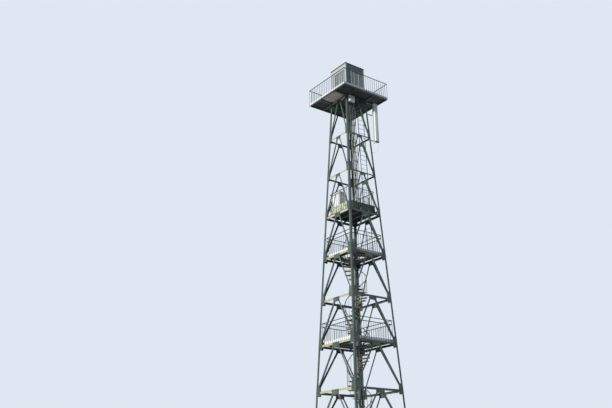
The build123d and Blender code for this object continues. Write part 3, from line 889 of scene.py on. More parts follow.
@dataclass(frozen=True)
class BoltedLattice:
    """Legs, lattice sides and gussets with their bolts."""

    shape: TowerShape
    heavy_bays: int = 7
    heavy: BayBars = BayBars(0.09, 0.12, 0.23, (0.165, 0.235, 0.3))
    light: BayBars = BayBars(0.07, 0.08, 0.11, (0.15, 0.195))
    leg_width: float = 0.12
    clearance: float = 0.012
    foot_inset: float = 0.06
    head_spread: float = 0.075
    lap: float = 0.12
    plate: float = 0.01
    lowest_plate: float = 0.03
    edge_distance: float = 0.055
    bolt_pitch: float = 0.14
    foot_bolts: tuple[float, ...] = (0.035, 0.09)
    head_bolt_drops: tuple[float, ...] = (0.035, 0.088)
    head_plate_lap: float = 0.04
    head_bolt_inset: float = 0.05
    leg_foot: float = 1.95
    anchor_out: float = 0.155
    newel_anchor_out: float = 0.185
    base_plate: float = 0.02
    bolt: Fastener = Fastener(0.03, 0.0125, 0.0185)
    anchor: Fastener = Fastener(0.036, 0.021, 0.024, 0.004, stud_radius=0.012, stud_height=0.045)

    def bars(self, bay: int) -> BayBars:
        """Sizes of the bars of a bay."""
        return self.heavy if bay < self.heavy_bays else self.light

    def slope(self, bay: int) -> float:
        """How far a slanting bar of a bay moves out for each metre down."""
        return (self.shape.half(bay * self.shape.bay) - self.foot_inset - self.head_spread) / self.shape.bay

    def across(self, bay: int, height: float) -> float:
        """Distance of a slanting bar's axis from the side's middle line."""
        return self.head_spread + self.slope(bay) * ((bay + 1) * self.shape.bay - height)

    def ends(self, bay: int) -> tuple[float, float]:
        """Finds where a slanting bar starts and stops.

        Args:
            bay: Bay number from the ground.

        Returns:
            Heights of the bar's foot and head.
        """
        bars, slope = self.bars(bay), self.slope(bay)
        stretch = math.hypot(1, slope)
        rise = bars.brace / 2 * slope / stretch
        meeting = bars.brace / 2 * stretch + self.leg_width + self.clearance - self.foot_inset
        foot = bay * self.shape.bay + meeting / (slope - self.shape.lean) - rise
        return foot, (bay + 1) * self.shape.bay - bars.ring - self.clearance - rise

    def corner_bolts(self, level: int) -> list[tuple[float, float]]:
        """Lists the bolts of one corner gusset.

        Args:
            level: Ring level that the gusset belongs to.

        Returns:
            Distance across and height of each bolt.
        """
        height, bars, foot = level * self.shape.bay, self.bars(level), self.ends(level)[0]
        low = (height - bars.plate_drop if level else self.lowest_plate) + self.edge_distance
        high = foot + self.lap - self.edge_distance
        count = max(2, round((high - low) / self.bolt_pitch))
        heights = [low + (high - low) * number / count for number in range(count + 1)]
        bolts = [(self.shape.half(z) - self.leg_width / 2 + self.plate, z) for z in heights]
        bolts += [(self.across(level, foot + rise), foot + rise) for rise in self.foot_bolts]
        if level:
            bolts += [(self.shape.half(height) - step, height - bars.ring / 2) for step in bars.ring_bolts]
        return bolts

    def head_bolts(self, level: int) -> list[tuple[float, float]]:
        """Lists the bolts of one gusset at the middle of a ring.

        Args:
            level: Ring level.

        Returns:
            Distance across and height of each bolt, for one half of the plate.
        """
        head = self.ends(level - 1)[1]
        height = level * self.shape.bay - self.bars(level - 1).ring / 2
        reach = self.across(level - 1, head - self.lap) + self.head_plate_lap
        bolts = [(self.across(level - 1, head - drop), head - drop) for drop in self.head_bolt_drops]
        return bolts + [(self.head_bolt_inset, height), (reach - self.head_bolt_inset, height)]

    def build(self) -> None:
        """Dresses the lattice and adds its bolts."""
        dress(Coat.GREEN, "corner_legs", "gusset_plates", "front_lattice", "right_lattice", "back_lattice")
        # The sunlit left side gets a lighter coat: painted sunlight
        dress(Coat.BLEACHED, "left_lattice")
        dress(Coat.ZINC, "base_plates")
        spots = [spot for level in range(self.shape.bays) for spot in self.corner_bolts(level)]
        spots += [spot for level in range(1, self.shape.bays + 1) for spot in self.head_bolts(level)]
        for turn, side in enumerate(("front", "right", "back", "left")):
            places = [self.shape.on_face(hand * across, height, self.plate, turn)
                      for across, height in spots for hand in HANDS]
            finish_piece(repeat(self.bolt.master(), places), f"{side}_gusset_bolts", Coat.GREEN)
        places = [(self.leg_foot * sx + self.anchor_out * x, self.leg_foot * sy + self.anchor_out * y, self.base_plate)
                  for sx, sy in CORNERS for x, y in CORNERS]
        places += [(self.newel_anchor_out * x, self.newel_anchor_out * y, self.base_plate) for x, y in CORNERS]
        finish_piece(repeat(self.anchor.master(), places), "anchor_nuts", Coat.ZINC)


@dataclass(frozen=True)
class StairFlight:
    """One flight of the helical stair: boarded steps on steel brackets, and a handrail on posts."""

    name: str
    landing: float
    riser: float
    top_angle: float
    steps: int = 23
    step_angle: float = 22.5
    spread: float = math.radians(12.5)
    radius: float = 0.65
    board: float = 0.035
    board_gap: float = 0.005
    overcut: float = 0.01
    grain_step: float = 0.83
    arm_tip: float = 0.61
    web: tuple[float, float] = (0.01, 0.09)
    web_taper: float = 0.065
    flange: tuple[float, float] = (0.05, 0.006)
    end_plate: tuple[float, float] = (0.06, 0.1)
    end_plate_thickness: float = 0.008
    cross_bar_width: float = 0.04
    cross_bars: tuple[tuple[float, float], ...] = ((0.3, 0.058), (0.55, 0.112))
    rail_height: float = 0.95
    rail_radius: float = 0.022
    post_radius: float = 0.009

    @property
    def reach(self) -> float:
        """Distance from the axis to the steps' outer edge."""
        return self.radius * math.cos(self.spread)

    def places(self) -> list[Matrix]:
        """Lists where the steps go.

        Returns:
            Place of each step, its middle line along X.
        """
        return [Matrix.Translation((0, 0, self.landing - number * self.riser)) @ Matrix.Rotation(
            math.radians(self.top_angle - (number - 0.5) * self.step_angle), 4, "Z")
            for number in range(1, self.steps + 1)]

    def step_boards(self) -> Object:
        """Models the three boards of one step.

        Returns:
            The boards, tops at z = 0, middle line along X.
        """
        edge = self.reach * math.tan(self.spread)
        cuts = (-edge - self.overcut, -edge / 3, edge / 3, edge + self.overcut)
        boards = []
        for low, high in zip(cuts, cuts[1:]):
            board = block((NEWEL_RADIUS, low + self.board_gap / 2, -self.board),
                          (self.reach, high - self.board_gap / 2, 0))
            for hand in HANDS:
                slice_off(board, hand * self.spread, hand)
            boards.append(lay_grain(soften(board, 0.003)))
        return join(boards)

    def bracket(self) -> Object:
        """Models the steel that carries one step.

        Returns:
            The bracket under a step whose top is at z = 0.
        """
        top, low, bar = -self.board, -self.board - self.flange[1], self.cross_bar_width / 2
        plates = [block((NEWEL_RADIUS, -width / 2, top - depth), (far, width / 2, top))
                  for (width, depth), far in ((self.web, self.arm_tip), (self.flange, self.arm_tip),
                                              (self.end_plate, NEWEL_RADIUS + self.end_plate_thickness))]
        with editing(plates[0], "VERT") as shape:
            pick(shape.verts, lambda vert: vert.co.x > NEWEL_RADIUS + bar and vert.co.z < low)
            bpy.ops.transform.translate(value=(0, 0, self.web_taper))
        parts = [soften(plate, edge, 1) for plate, edge in zip(plates, (0.001, 0.001, 0.002))]
        parts += [block((middle - bar, -half, low), (middle + bar, half, top), 0.001, 1)
                  for middle, half in self.cross_bars]
        return join(parts)

    def post(self) -> Object:
        """Models one handrail post with its foot.

        Returns:
            The post beside a step whose top is at z = 0.
        """
        x, seat = self.reach + self.post_radius, -self.board
        foot = block((self.reach - 0.05, -0.02, seat - 0.005), (x + 0.008, 0.02, seat), 0.002, 1)
        return join([upright(x, 0, seat, self.rail_height + self.riser / 2, self.post_radius, 8), foot])

    def handrail(self) -> Object:
        """Models the round handrail as one helix.

        Returns:
            The handrail in place.
        """
        rail = add(bpy.ops.mesh.primitive_circle_add, vertices=12, radius=self.rail_radius, rotation=(QUARTER, 0, 0),
                   location=(self.reach + self.post_radius + 0.002, 0, 0))
        slope = math.atan2(self.riser, math.radians(self.step_angle) * self.reach)
        with editing(rail, "VERT", "SELECT"):
            bpy.ops.transform.resize(value=(1, 1, 1 / math.cos(slope)))
        start = math.radians(self.top_angle - self.steps * self.step_angle)
        rail.data.transform(Matrix.Translation((0, 0, self.landing + self.rail_height - self.steps * self.riser))
                            @ Matrix.Rotation(start, 4, "Z"))
        choose(rail)
        helix = rail.modifiers.new("helix", "SCREW")
        helix.axis = "Z"
        helix.angle = math.radians(self.steps * self.step_angle)
        helix.screw_offset = self.steps * self.riser
        helix.steps = helix.render_steps = self.steps * 4
        helix.use_normal_calculate = True
        bpy.ops.object.modifier_apply(modifier=helix.name)
        with editing(rail, "EDGE", "SELECT"):
            bpy.ops.mesh.fill_holes(sides=0)
        return face_out(rail)

    def build(self) -> None:
        """Builds the flight in place of its CAD nodes."""
        finish_piece(repeat(self.step_boards(), self.places(), self.grain_step), f"{self.name}_step_boards",
                     Coat.STEPS, f"{self.name}_treads")
        finish_piece(repeat(self.bracket(), self.places()), f"{self.name}_step_brackets", Coat.GREEN)
        finish_piece(join([self.handrail(), repeat(self.post(), self.places())]), f"{self.name}_handrail",
                     Coat.GREEN, f"{self.name}_stair_rail")


@dataclass(frozen=True)
class RailSet:
    """A railing round a square platform: round rails on square bars."""

    node: str
    rail_drops: tuple[float, ...] = (0.0,)
    bend: float = 0.03
    cad_radius: float = 0.024
    cad_flat: float = 0.0222
    tube: float = 0.022
    bar: float = 0.016
    pitch: float = 0.18
    post: float = 0.024

    def loop(self, line: float, height: float) -> Object:
        """Models one closed rail with bent corners.

        Args:
            line: Distance of the rail's axis from the tower's axis.
            height: Height of the rail's axis.

        Returns:
            The rail in place.
        """
        straight = line - self.bend
        quarter = add(bpy.ops.mesh.primitive_circle_add, vertices=14, radius=self.tube, rotation=(0, QUARTER, 0),
                      location=(-straight, -line, height))
        with editing(quarter, "EDGE", "SELECT"):
            bpy.ops.mesh.extrude_region_move(TRANSFORM_OT_translate={"value": (2 * straight, 0, 0)})
            bpy.ops.mesh.spin(steps=5, angle=-QUARTER, center=(straight, -straight, height), axis=UP)
        return face_out(repeat(quarter, TURNS))

    def bars(self, line: float, foot: float, top: float) -> Object:
        """Models the upright bars of all four sides.

        Args:
            line: Distance of the bars' axes from the tower's axis.
            foot: Height of the bars' lower ends.
            top: Height of the rail that they carry.

        Returns:
            The bars in place.
        """
        reach = line - (self.bend if self.bend > self.cad_radius * 2 else 0)
        half, gaps = self.bar / 2, math.ceil(2 * reach / self.pitch)
        spots = [-reach + 2 * reach * number / gaps for number in range(gaps + (reach < line))]
        bar = block((-half, -line - half, foot), (half, -line + half, top), 0.002, 1)
        return repeat(bar, [turn @ Matrix.Translation((spot, 0, 0)) for turn in TURNS for spot in spots])

    def build(self) -> None:
        """Builds the railing in place of its CAD node."""
        low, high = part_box(self.node)
        line, top = high.x - self.cad_radius, high.z - self.cad_flat
        under = top - max(self.rail_drops)
        parts = [self.loop(line, top - drop) for drop in self.rail_drops]
        parts.append(self.bars(line, low.z, under))
        if len(self.rail_drops) > 1:
            half, corner = self.post / 2, line - self.bend * 0.3
            parts.append(repeat(block((-half, -half, under), (half, half, top), 0.002, 1),
                                [(x * corner, y * corner, 0) for x, y in CORNERS]))
        finish_piece(join(parts), self.node.replace("railing", "guard_rail"), Coat.DARK_GREEN, self.node)


@dataclass(frozen=True)
class PlankDeck:
    """A deck of sawn boards that run from side to side."""

    node: str
    hatch: tuple[float, float, float, float] | None = None
    well_angle: float | None = None
    coat: Coat = Coat.DECKING
    pitch: float = 0.148
    gap: float = 0.008
    grain_step: float = 1.37
    well_radius: float = 0.695
    well_overlap: float = 45
    cut_margin: float = 0.05

    def well_cutters(self, low: float, high: float) -> list[Object]:
        """Models the two half discs and the newel that make a stair well of 225 degrees.

        Args:
            low: Height below the deck.
            high: Height above the deck.

        Returns:
            The cutters.
        """
        discs = [slice_off(cylinder(self.well_radius, low, high, 16), math.radians(end))
                 for end in (self.well_angle, self.well_angle - self.well_overlap)]
        return [*discs, upright(0, 0, low, high, NEWEL_RADIUS, 24)]

    def build(self) -> None:
        """Builds the boards in place of the CAD slab."""
        low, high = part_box(self.node)
        count = round((high.y - low.y) / self.pitch)
        step = (high.y - low.y + self.gap) / count
        board = lay_grain(block(low, (high.x, low.y + step - self.gap, high.z), 0.004, 1))
        deck = repeat(board, [(0, step * number, 0) for number in range(count)], self.grain_step)
        below, above = low.z - self.cut_margin, high.z + self.cut_margin
        if self.hatch:
            left, front, right, back = self.hatch
            carve(deck, block((left, front, below), (right, back, above)))
        if self.well_angle is not None:
            for cutter in self.well_cutters(below, above):
                carve(deck, cutter)
        finish_piece(deck, f"{self.node}_boards", self.coat, self.node)


@dataclass(frozen=True)
class ChannelFrame:
    """A floor frame of rolled channels: long joists, and short ones between them."""

    node: str
    lines: tuple[float, ...]
    cross_lines: tuple[float, ...]
    width: float = 0.06
    gap: float = 0.001
    flange: float = 0.008

    def channel(self, length: float, depth: float) -> Object:
        """Models one channel along Y, open towards X.

        Args:
            length: Length in metres.
            depth: Height of the section in metres.

        Returns:
            The channel, its underside at z = 0.
        """
        bar = block((-self.width / 2, -length / 2, 0), (self.width / 2, length / 2, depth))
        return soften(panelled(bar, self.flange, self.width - self.flange, RIGHT), 0.0025, 1)

    def build(self) -> None:
        """Builds the frame in place of its CAD node."""
        low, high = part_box(self.node)
        bars = [(high.y - low.y, x, 0, 2 if x > 0 else 0, abs(x) == max(self.lines)) for x in self.lines]
        bars += [(right - left - self.width - 2 * self.gap, (left + right) / 2, y, 3 if y > 0 else 1,
                  abs(y) == max(self.cross_lines))
                 for left, right in zip(self.lines, self.lines[1:]) for y in self.cross_lines]
        # The edge channels take the dark paint as painted shade of the shadowed platform edges
        for name, coat, replaced, at_edge in (("edge", Coat.DARK_GREEN, (self.node,), True),
                                              ("inner", Coat.GREEN, (), False)):
            channels = [repeat(self.channel(length, high.z - low.z), [Matrix.Translation((x, y, low.z)) @ TURNS[turn]])
                        for length, x, y, turn, outer in bars if outer is at_edge]
            finish_piece(join(channels), f"{self.node}_{name}_channels", coat, *replaced)


@dataclass(frozen=True)
class LeaningLine:
    """A straight line that climbs beside the tower."""

    low: float
    low_out: float
    high: float
    high_out: float

    def out(self, height: float) -> float:
        """Distance of the line from the tower's axis at a height."""
        return self.low_out + (self.high_out - self.low_out) * (height - self.low) / (self.high - self.low)

    def at(self, across: float, height: float, depth: float = 0.0) -> Matrix:
        """Finds a place on the line.

        Args:
            across: Position along X.
            height: Height above the ground.
            depth: Offset towards the tower.

        Returns:
            A place whose Z axis runs up the line and whose Y axis points to the tower.
        """
        axis = Vector((0, self.low_out - self.high_out, self.high - self.low)).normalized()
        turn = Matrix((RIGHT, axis.cross(Vector(RIGHT)), axis)).transposed().to_4x4()
        return Matrix.Translation((across, -self.out(height), height)) @ turn @ Matrix.Translation((0, depth, 0))

    def length(self, foot: float, head: float) -> float:
        """Length of the line between two heights."""
        return math.hypot(head - foot, self.out(head) - self.out(foot))


@dataclass(frozen=True)
class Ladder:
    """A fixed ladder: flat stiles on foot cleats, with round rungs welded between them."""

    node: str
    line: LeaningLine
    centre: float
    foot: float
    head: float
    turn: int = 0
    width: float = 0.46
    stile: tuple[float, float] = (0.012, 0.05)
    rung_radius: float = 0.011
    collar: float = 0.004
    pitch: float = 0.3
    first_rung: float = 0.225
    cleat_inset: float = 0.03

    def rung(self) -> Object:
        """Models one rung with its weld collars.

        Returns:
            The rung, centred on the origin along X.
        """
        reach = self.width / 2 - self.stile[0] / 2
        collars = [rod((hand * (reach - 0.005), 0, 0), (hand * reach, 0, 0), self.rung_radius + self.collar, 10)
                   for hand in HANDS]
        return join([rod((-reach, 0, 0), (reach, 0, 0), self.rung_radius), *collars])

    def build(self) -> None:
        """Builds the ladder in place of its CAD node."""
        thick, deep = self.stile
        length = self.line.length(self.foot, self.head)
        sides = [self.centre + hand * self.width / 2 for hand in HANDS]
        stile = block((-thick / 2, -deep / 2, 0), (thick / 2, deep / 2, length), 0.003)
        rungs = [self.line.at(self.centre, self.foot + self.first_rung + self.pitch * number)
                 for number in range(int((self.head - self.foot) / self.pitch))]
        cleat = soften(panelled(block((-0.02, -0.02, 0), (0.02, 0.02, 0.006)), 0.006, -0.007, UP), 0.0015, 1)
        feet = [(x - hand * self.cleat_inset, -self.line.out(self.foot), self.foot + 0.0005)
                for x, hand in zip(sides, HANDS)]
        ladder = join([repeat(stile, [self.line.at(x, self.foot) for x in sides]), repeat(self.rung(), rungs),
                       repeat(cleat, feet)])
        finish_piece(turned(ladder, self.turn), f"{self.node}_steel", Coat.GREEN, self.node)


@dataclass(frozen=True)
class FeederRun:
    """Feeder cables clipped to a cable ladder below the radio unit."""

    line: LeaningLine
    centre: float = -0.27
    foot: float = 17.7
    head: float = 24.506
    first_clip: float = 17.727
    last_clip: float = 24.476
    pitch: float = 0.06
    radius: float = 0.0145
    depth: float = 0.0303
    clip_pitch: float = 0.6
    sway: float = 0.011
    sway_step: float = 0.15
    sheaths: tuple[Coat, ...] = (Coat.TAN_CABLE, Coat.GREY_CABLE, Coat.WHITE_CABLE, Coat.TAN_CABLE, Coat.GREY_CABLE)

    def across(self, number: int) -> float:
        """Position of a cable along X."""
        return self.centre + (number - (len(self.sheaths) - 1) / 2) * self.pitch

    def cable(self, number: int) -> Object:
        """Models one cable, which sways a little between its clips.

        Args:
            number: Cable number from the left.

        Returns:
            The cable in place.
        """
        cable = add(bpy.ops.mesh.primitive_circle_add, vertices=10, radius=self.radius, fill_type="NGON")
        length = self.line.length(self.foot, self.head)
        count = round(length / self.sway_step)
        with editing(cable, action="SELECT"):
            aside = 0.0
            for step in range(1, count + 1):
                wanted = self.sway * math.sin(step * 0.83 + number * 2.1) * math.sin(step * 0.31 + number)
                bpy.ops.mesh.extrude_region_move(
                    TRANSFORM_OT_translate={"value": (wanted - aside, 0, length / count)})
                aside = wanted
        cable.data.transform(self.line.at(self.across(number), self.foot, self.depth))
        return face_out(cable)

    def clip(self) -> Object:
        """Models the block that clamps one cable to a rung.

        Returns:
            The clip with its strap and bolt, its cable running along Z.
        """
        return join([block((-0.022, -0.016, -0.014), (0.022, 0.018, 0.014), 0.005),
                     block((-0.025, -0.021, -0.006), (0.025, -0.015, 0.006), 0.001, 1),
                     rod((0, -0.024, 0), (0, 0.024, 0), 0.004, 6, 0.001)])

    def build(self) -> None:
        """Dresses the cable ladder and builds the cables in place of their CAD node, and their clips."""
        dress(Coat.ZINC, "cable_ladder")
        for sheath in dict.fromkeys(self.sheaths):
            cables = [self.cable(number) for number, coat in enumerate(self.sheaths) if coat is sheath]
            finish_piece(join(cables), f"{sheath.name.split('_')[0].lower()}_feeder_cables", sheath,
                         *(("feeder_cables",) if sheath is self.sheaths[0] else ()))
        rows = range(1, int((self.last_clip - self.first_clip) / self.clip_pitch) + 1)
        places = [self.line.at(self.across(number), self.first_clip + self.clip_pitch * step, self.depth)
                  for step in rows for number in range(len(self.sheaths))]
        finish_piece(repeat(self.clip(), places), "feeder_clips", Coat.RUBBER)


@dataclass(frozen=True)
class EquipmentCabinet:
    """The white cabinet on the equipment platform, with two louvred doors that look inwards."""

    low: Point = (-0.8, 0.17, 17.6965)
    high: Point = (-0.35, 0.89, 18.9455)
    plinth: float = 0.06
    plinth_inset: float = 0.03
    hood: float = 0.05
    hood_slope: float = 0.09
    hood_fall: float = 0.016
    overhang: float = 0.02
    door_gap: float = 0.006
    margin: float = 0.02
    leaf: float = 0.01
    louvre_gaps: tuple[float, float] = (0.08, 0.24)
    slats: int = 7
    slat_pitch: float = 0.022
    slat_inset: float = 0.07
    hinge_shares: tuple[float, ...] = (0.18, 0.5, 0.82)
    handle_spread: float = 0.035

    def door(self, left: float, right: float) -> Object:
        """Models one door leaf with its louvres.

        Args:
            left: Lower Y of the leaf.
            right: Upper Y of the leaf.

        Returns:
            The leaf in place.
        """
        face, foot, head = self.high[0], self.low[2] + self.plinth + self.margin, self.high[2] - self.margin
        leaf = panelled(block((face - 0.002, left, foot), (face + self.leaf, right, head)), 0.014, 0.0025, RIGHT)
        slat = block((face + 0.006, left + self.slat_inset, 0), (face + 0.0145, right - self.slat_inset, 0.012),
                     0.003, 1)
        spots = [(0, 0, z + self.slat_pitch * number)
                 for z in (foot + self.louvre_gaps[0], head - self.louvre_gaps[1]) for number in range(self.slats)]
        return join([soften(leaf, 0.002, 1), repeat(slat, spots)])

    def fittings(self, middle: float) -> Object:
        """Models hinges and swing handles of both doors.

        Args:
            middle: Y where the doors meet.

        Returns:
            The fittings in place.
        """
        face, tall = self.high[0], self.high[2] - self.low[2]
        hinges = [(y, self.low[2] + tall * share) for y in (self.low[1] + self.margin + 0.004,
                                                            self.high[1] - self.margin - 0.004)
                  for share in self.hinge_shares]
        parts = [upright(face + 0.012, y, z - 0.035, z + 0.035, 0.006, 10) for y, z in hinges]
        z = self.low[2] + tall / 2
        for y in (middle - self.handle_spread, middle + self.handle_spread):
            parts += [block((face + 0.007, y - 0.012, z - 0.07), (face + 0.012, y + 0.012, z + 0.07), 0.004),
                      block((face + 0.012, y - 0.006, z - 0.06), (face + 0.0175, y + 0.006, z + 0.03), 0.003)]
        return join(parts)

    def build(self) -> None:
        """Builds the cabinet in place of its CAD node."""
        (left, front, foot), (right, back, head) = self.low, self.high
        over, inset, seat = self.overhang, self.plinth_inset, self.low[2] + self.plinth
        middle = (front + back) / 2
        body = panelled(block((left, front, seat), self.high), 0.05, 0.004, LEFT, FRONT, BACK)
        hood = block((left - over, front - over, head), (right + over, back + over, head + self.hood - self.hood_fall))
        shell = [soften(body, 0.004), soften(peaked(hood, self.hood_slope, self.hood_fall), 0.003),
                 self.door(front + self.margin, middle - self.door_gap / 2),
                 self.door(middle + self.door_gap / 2, back - self.margin)]
        finish_piece(join(shell), "cabinet_shell", Coat.ENAMEL, "equipment_cabinet")
        plinth = panelled(block((left + inset, front + inset, foot), (right - inset, back - inset, seat)),
                          0.012, 0.012, RIGHT, LEFT, FRONT, BACK)
        finish_piece(join([soften(plinth, 0.002, 1), self.fittings(middle)]), "cabinet_plinth_and_fittings", Coat.ZINC)


@dataclass(frozen=True)
class RadioUnit:
    """The finned radio unit that hangs on the front of the lattice below the gallery."""

    low: Point = (-0.675, -0.9528, 24.55)
    high: Point = (-0.255, -0.7936, 24.98)
    skirt: float = 0.03
    fins: int = 19
    fin: float = 0.006
    fin_inset: float = 0.015
    shell: float = 0.055
    cover: float = 0.2
    connectors: int = 5
    connector_inset: float = 0.09
    connector_pitch: float = 0.06

    def build(self) -> None:
        """Builds the radio unit in place of its CAD node."""
        (left, front, low), (right, back, top) = self.low, self.high
        foot, face = low + self.skirt, front + self.shell
        body = panelled(block((left, face, foot), (right, back - 0.03, top)), 0.02, 0.004, DOWN)
        cover = panelled(block((left + 0.03, front, foot + 0.02), (right - 0.03, face + 0.01, foot + self.cover)),
                         0.016, 0.003, FRONT)
        fin = block((-self.fin / 2, front + 0.004, foot + self.cover + 0.01),
                    (self.fin / 2, face + 0.01, top - 0.012), 0.002, 1)
        step = (right - left - 2 * self.fin_inset) / (self.fins - 1)
        fins = repeat(fin, [(left + self.fin_inset + step * number, 0, 0) for number in range(self.fins)])
        finish_piece(join([soften(body, 0.008, 3), soften(cover, 0.007, 3), fins]), "radio_housing", Coat.RADOME,
                     "radio_unit")
        y = (face + back) / 2
        metal = [upright(left + self.connector_inset + self.connector_pitch * number, y, *ends)
                 for number in range(self.connectors)
                 for ends in ((low + 0.001, foot + 0.004, 0.014, 8), (low + 0.012, foot, 0.018, 6))]
        metal += [block((left + 0.06, back - 0.032, z - 0.02), (right - 0.06, back, z + 0.02), 0.003)
                  for z in (foot + 0.06, top - 0.06)]
        finish_piece(join(metal), "radio_mount_and_connectors", Coat.ZINC)


@dataclass(frozen=True)
class PanelAntenna:
    """The tall panel antenna beside the right leg, with its connector and pipe clamps."""

    low: Point = (1.05, -1.2, 22.2)
    high: Point = (1.35, -1.06, 24.8)
    corner: float = 0.056
    cap: float = 0.045
    step: float = 0.004
    plug: tuple[float, float] = (1.29, -1.13)
    plug_radius: float = 0.016
    plug_length: float = 0.04
    pipe: tuple[float, float] = (1.13, -0.97)
    clamp_heights: tuple[float, ...] = (22.367, 24.167)
    jaw: float = 0.034
    stud_out: float = 0.026

    def shell(self, inset: float, foot: float, head: float) -> Object:
        """Models a length of the antenna's rounded section.

        Args:
            inset: How far it lies inside the full section.
            foot: Height of the lower end.
            head: Height of the upper end.

        Returns:
            The length in place.
        """
        piece = block((self.low[0] + inset, self.low[1] + inset, foot),
                      (self.high[0] - inset, self.high[1] - inset, head))
        return smooth(soften(round_corners(piece, self.corner - inset, 7), 0.004, 2, 60), 30)

    def clamp(self, height: float) -> Object:
        """Models the clamp that grips the pipe.

        Args:
            height: Height of the clamp's middle.

        Returns:
            The clamp's jaw, two studs and four nuts, in place.
        """
        (x, y), half = self.pipe, self.jaw
        jaw = block((x - half, y - half, height - 0.015), (x + half, y + half, height + 0.015))
        parts = [soften(round_corners(jaw, 0.016, 4), 0.002, 1, 60)]
        for hand in HANDS:
            across = x + hand * self.stud_out
            parts += [rod((across, y + start, height), (across, y + end, height), radius, sides)
                      for start, end, radius, sides in ((-0.06, 0.06, 0.005, 8), (-0.044, -0.053, 0.0098, 6),
                                                        (0.044, 0.053, 0.0098, 6))]
        return join(parts)

    def build(self) -> None:
        """Builds the antenna in place of its CAD node and dresses its bracket."""
        foot, head = self.low[2], self.high[2]
        body = self.shell(self.step, foot + self.cap - 0.005, head - self.cap + 0.005)
        finish_piece(join([body, self.shell(0, head - self.cap, head)]), "antenna_radome", Coat.RADOME,
                     "panel_antenna")
        finish_piece(self.shell(0, foot, foot + self.cap), "antenna_foot_cap", Coat.RUBBER, slot=Slot.RADOME)
        nut = upright(*self.plug, foot - 0.022, foot + 0.002, self.plug_radius, 6)
        sleeve = upright(*self.plug, foot - self.plug_length, foot - 0.018, self.plug_radius * 0.8, 16)
        finish_piece(join([nut, sleeve]), "antenna_connector", Coat.ZINC)
        dress(Coat.ZINC, "antenna_bracket")
        finish_piece(join([self.clamp(height) for height in self.clamp_heights]), "pipe_clamps", Coat.ZINC)


@dataclass(frozen=True)
class JumperCable:
    """The thin cable that hangs from the antenna's foot to a clamp on the right leg."""

    diameter: float = 0.014
    length: float = 0.85
    route: tuple[Point, ...] = (
        (1.29, -1.13, 22.16), (1.29, -1.13, 22.0), (1.283, -1.125, 21.84), (1.24, -1.08, 21.68),
        (1.15, -0.985, 21.58), (1.06, -0.9, 21.54), (0.98734, -0.9, 21.54))

    def build(self) -> None:
        """Builds the cable as a soft cord in place of its CAD tube."""
        cable = add(bpy.ops.curve.primitive_nurbs_path_add)
        curve = cable.data
        curve.splines.clear()
        spline = curve.splines.new("NURBS")
        spline.points.add(len(self.route) - 1)
        for point, place in zip(spline.points, self.route):
            point.co = (*place, 1.0)
        spline.order_u = 3
        spline.use_endpoint_u = True
        curve.bevel_depth = self.diameter / 2
        curve.bevel_resolution = 4
        curve.resolution_u = 12
        curve.use_fill_caps = True
        finish_piece(cable, "antenna_jumper", Coat.WHITE_CABLE, "jumper_cable")


@dataclass(frozen=True)
class CabinShape:
    """Sizes that the cabin's walls share."""

    half: float = 0.735
    wall: float = 0.05
    floor: float = 25.1163
    height: float = 2.155
    sill: float = 0.88
    head: float = 1.77
    trim: float = 0.01

    @property
    def eaves(self) -> float:
        """Height of the walls' upper edge."""
        return self.floor + self.height


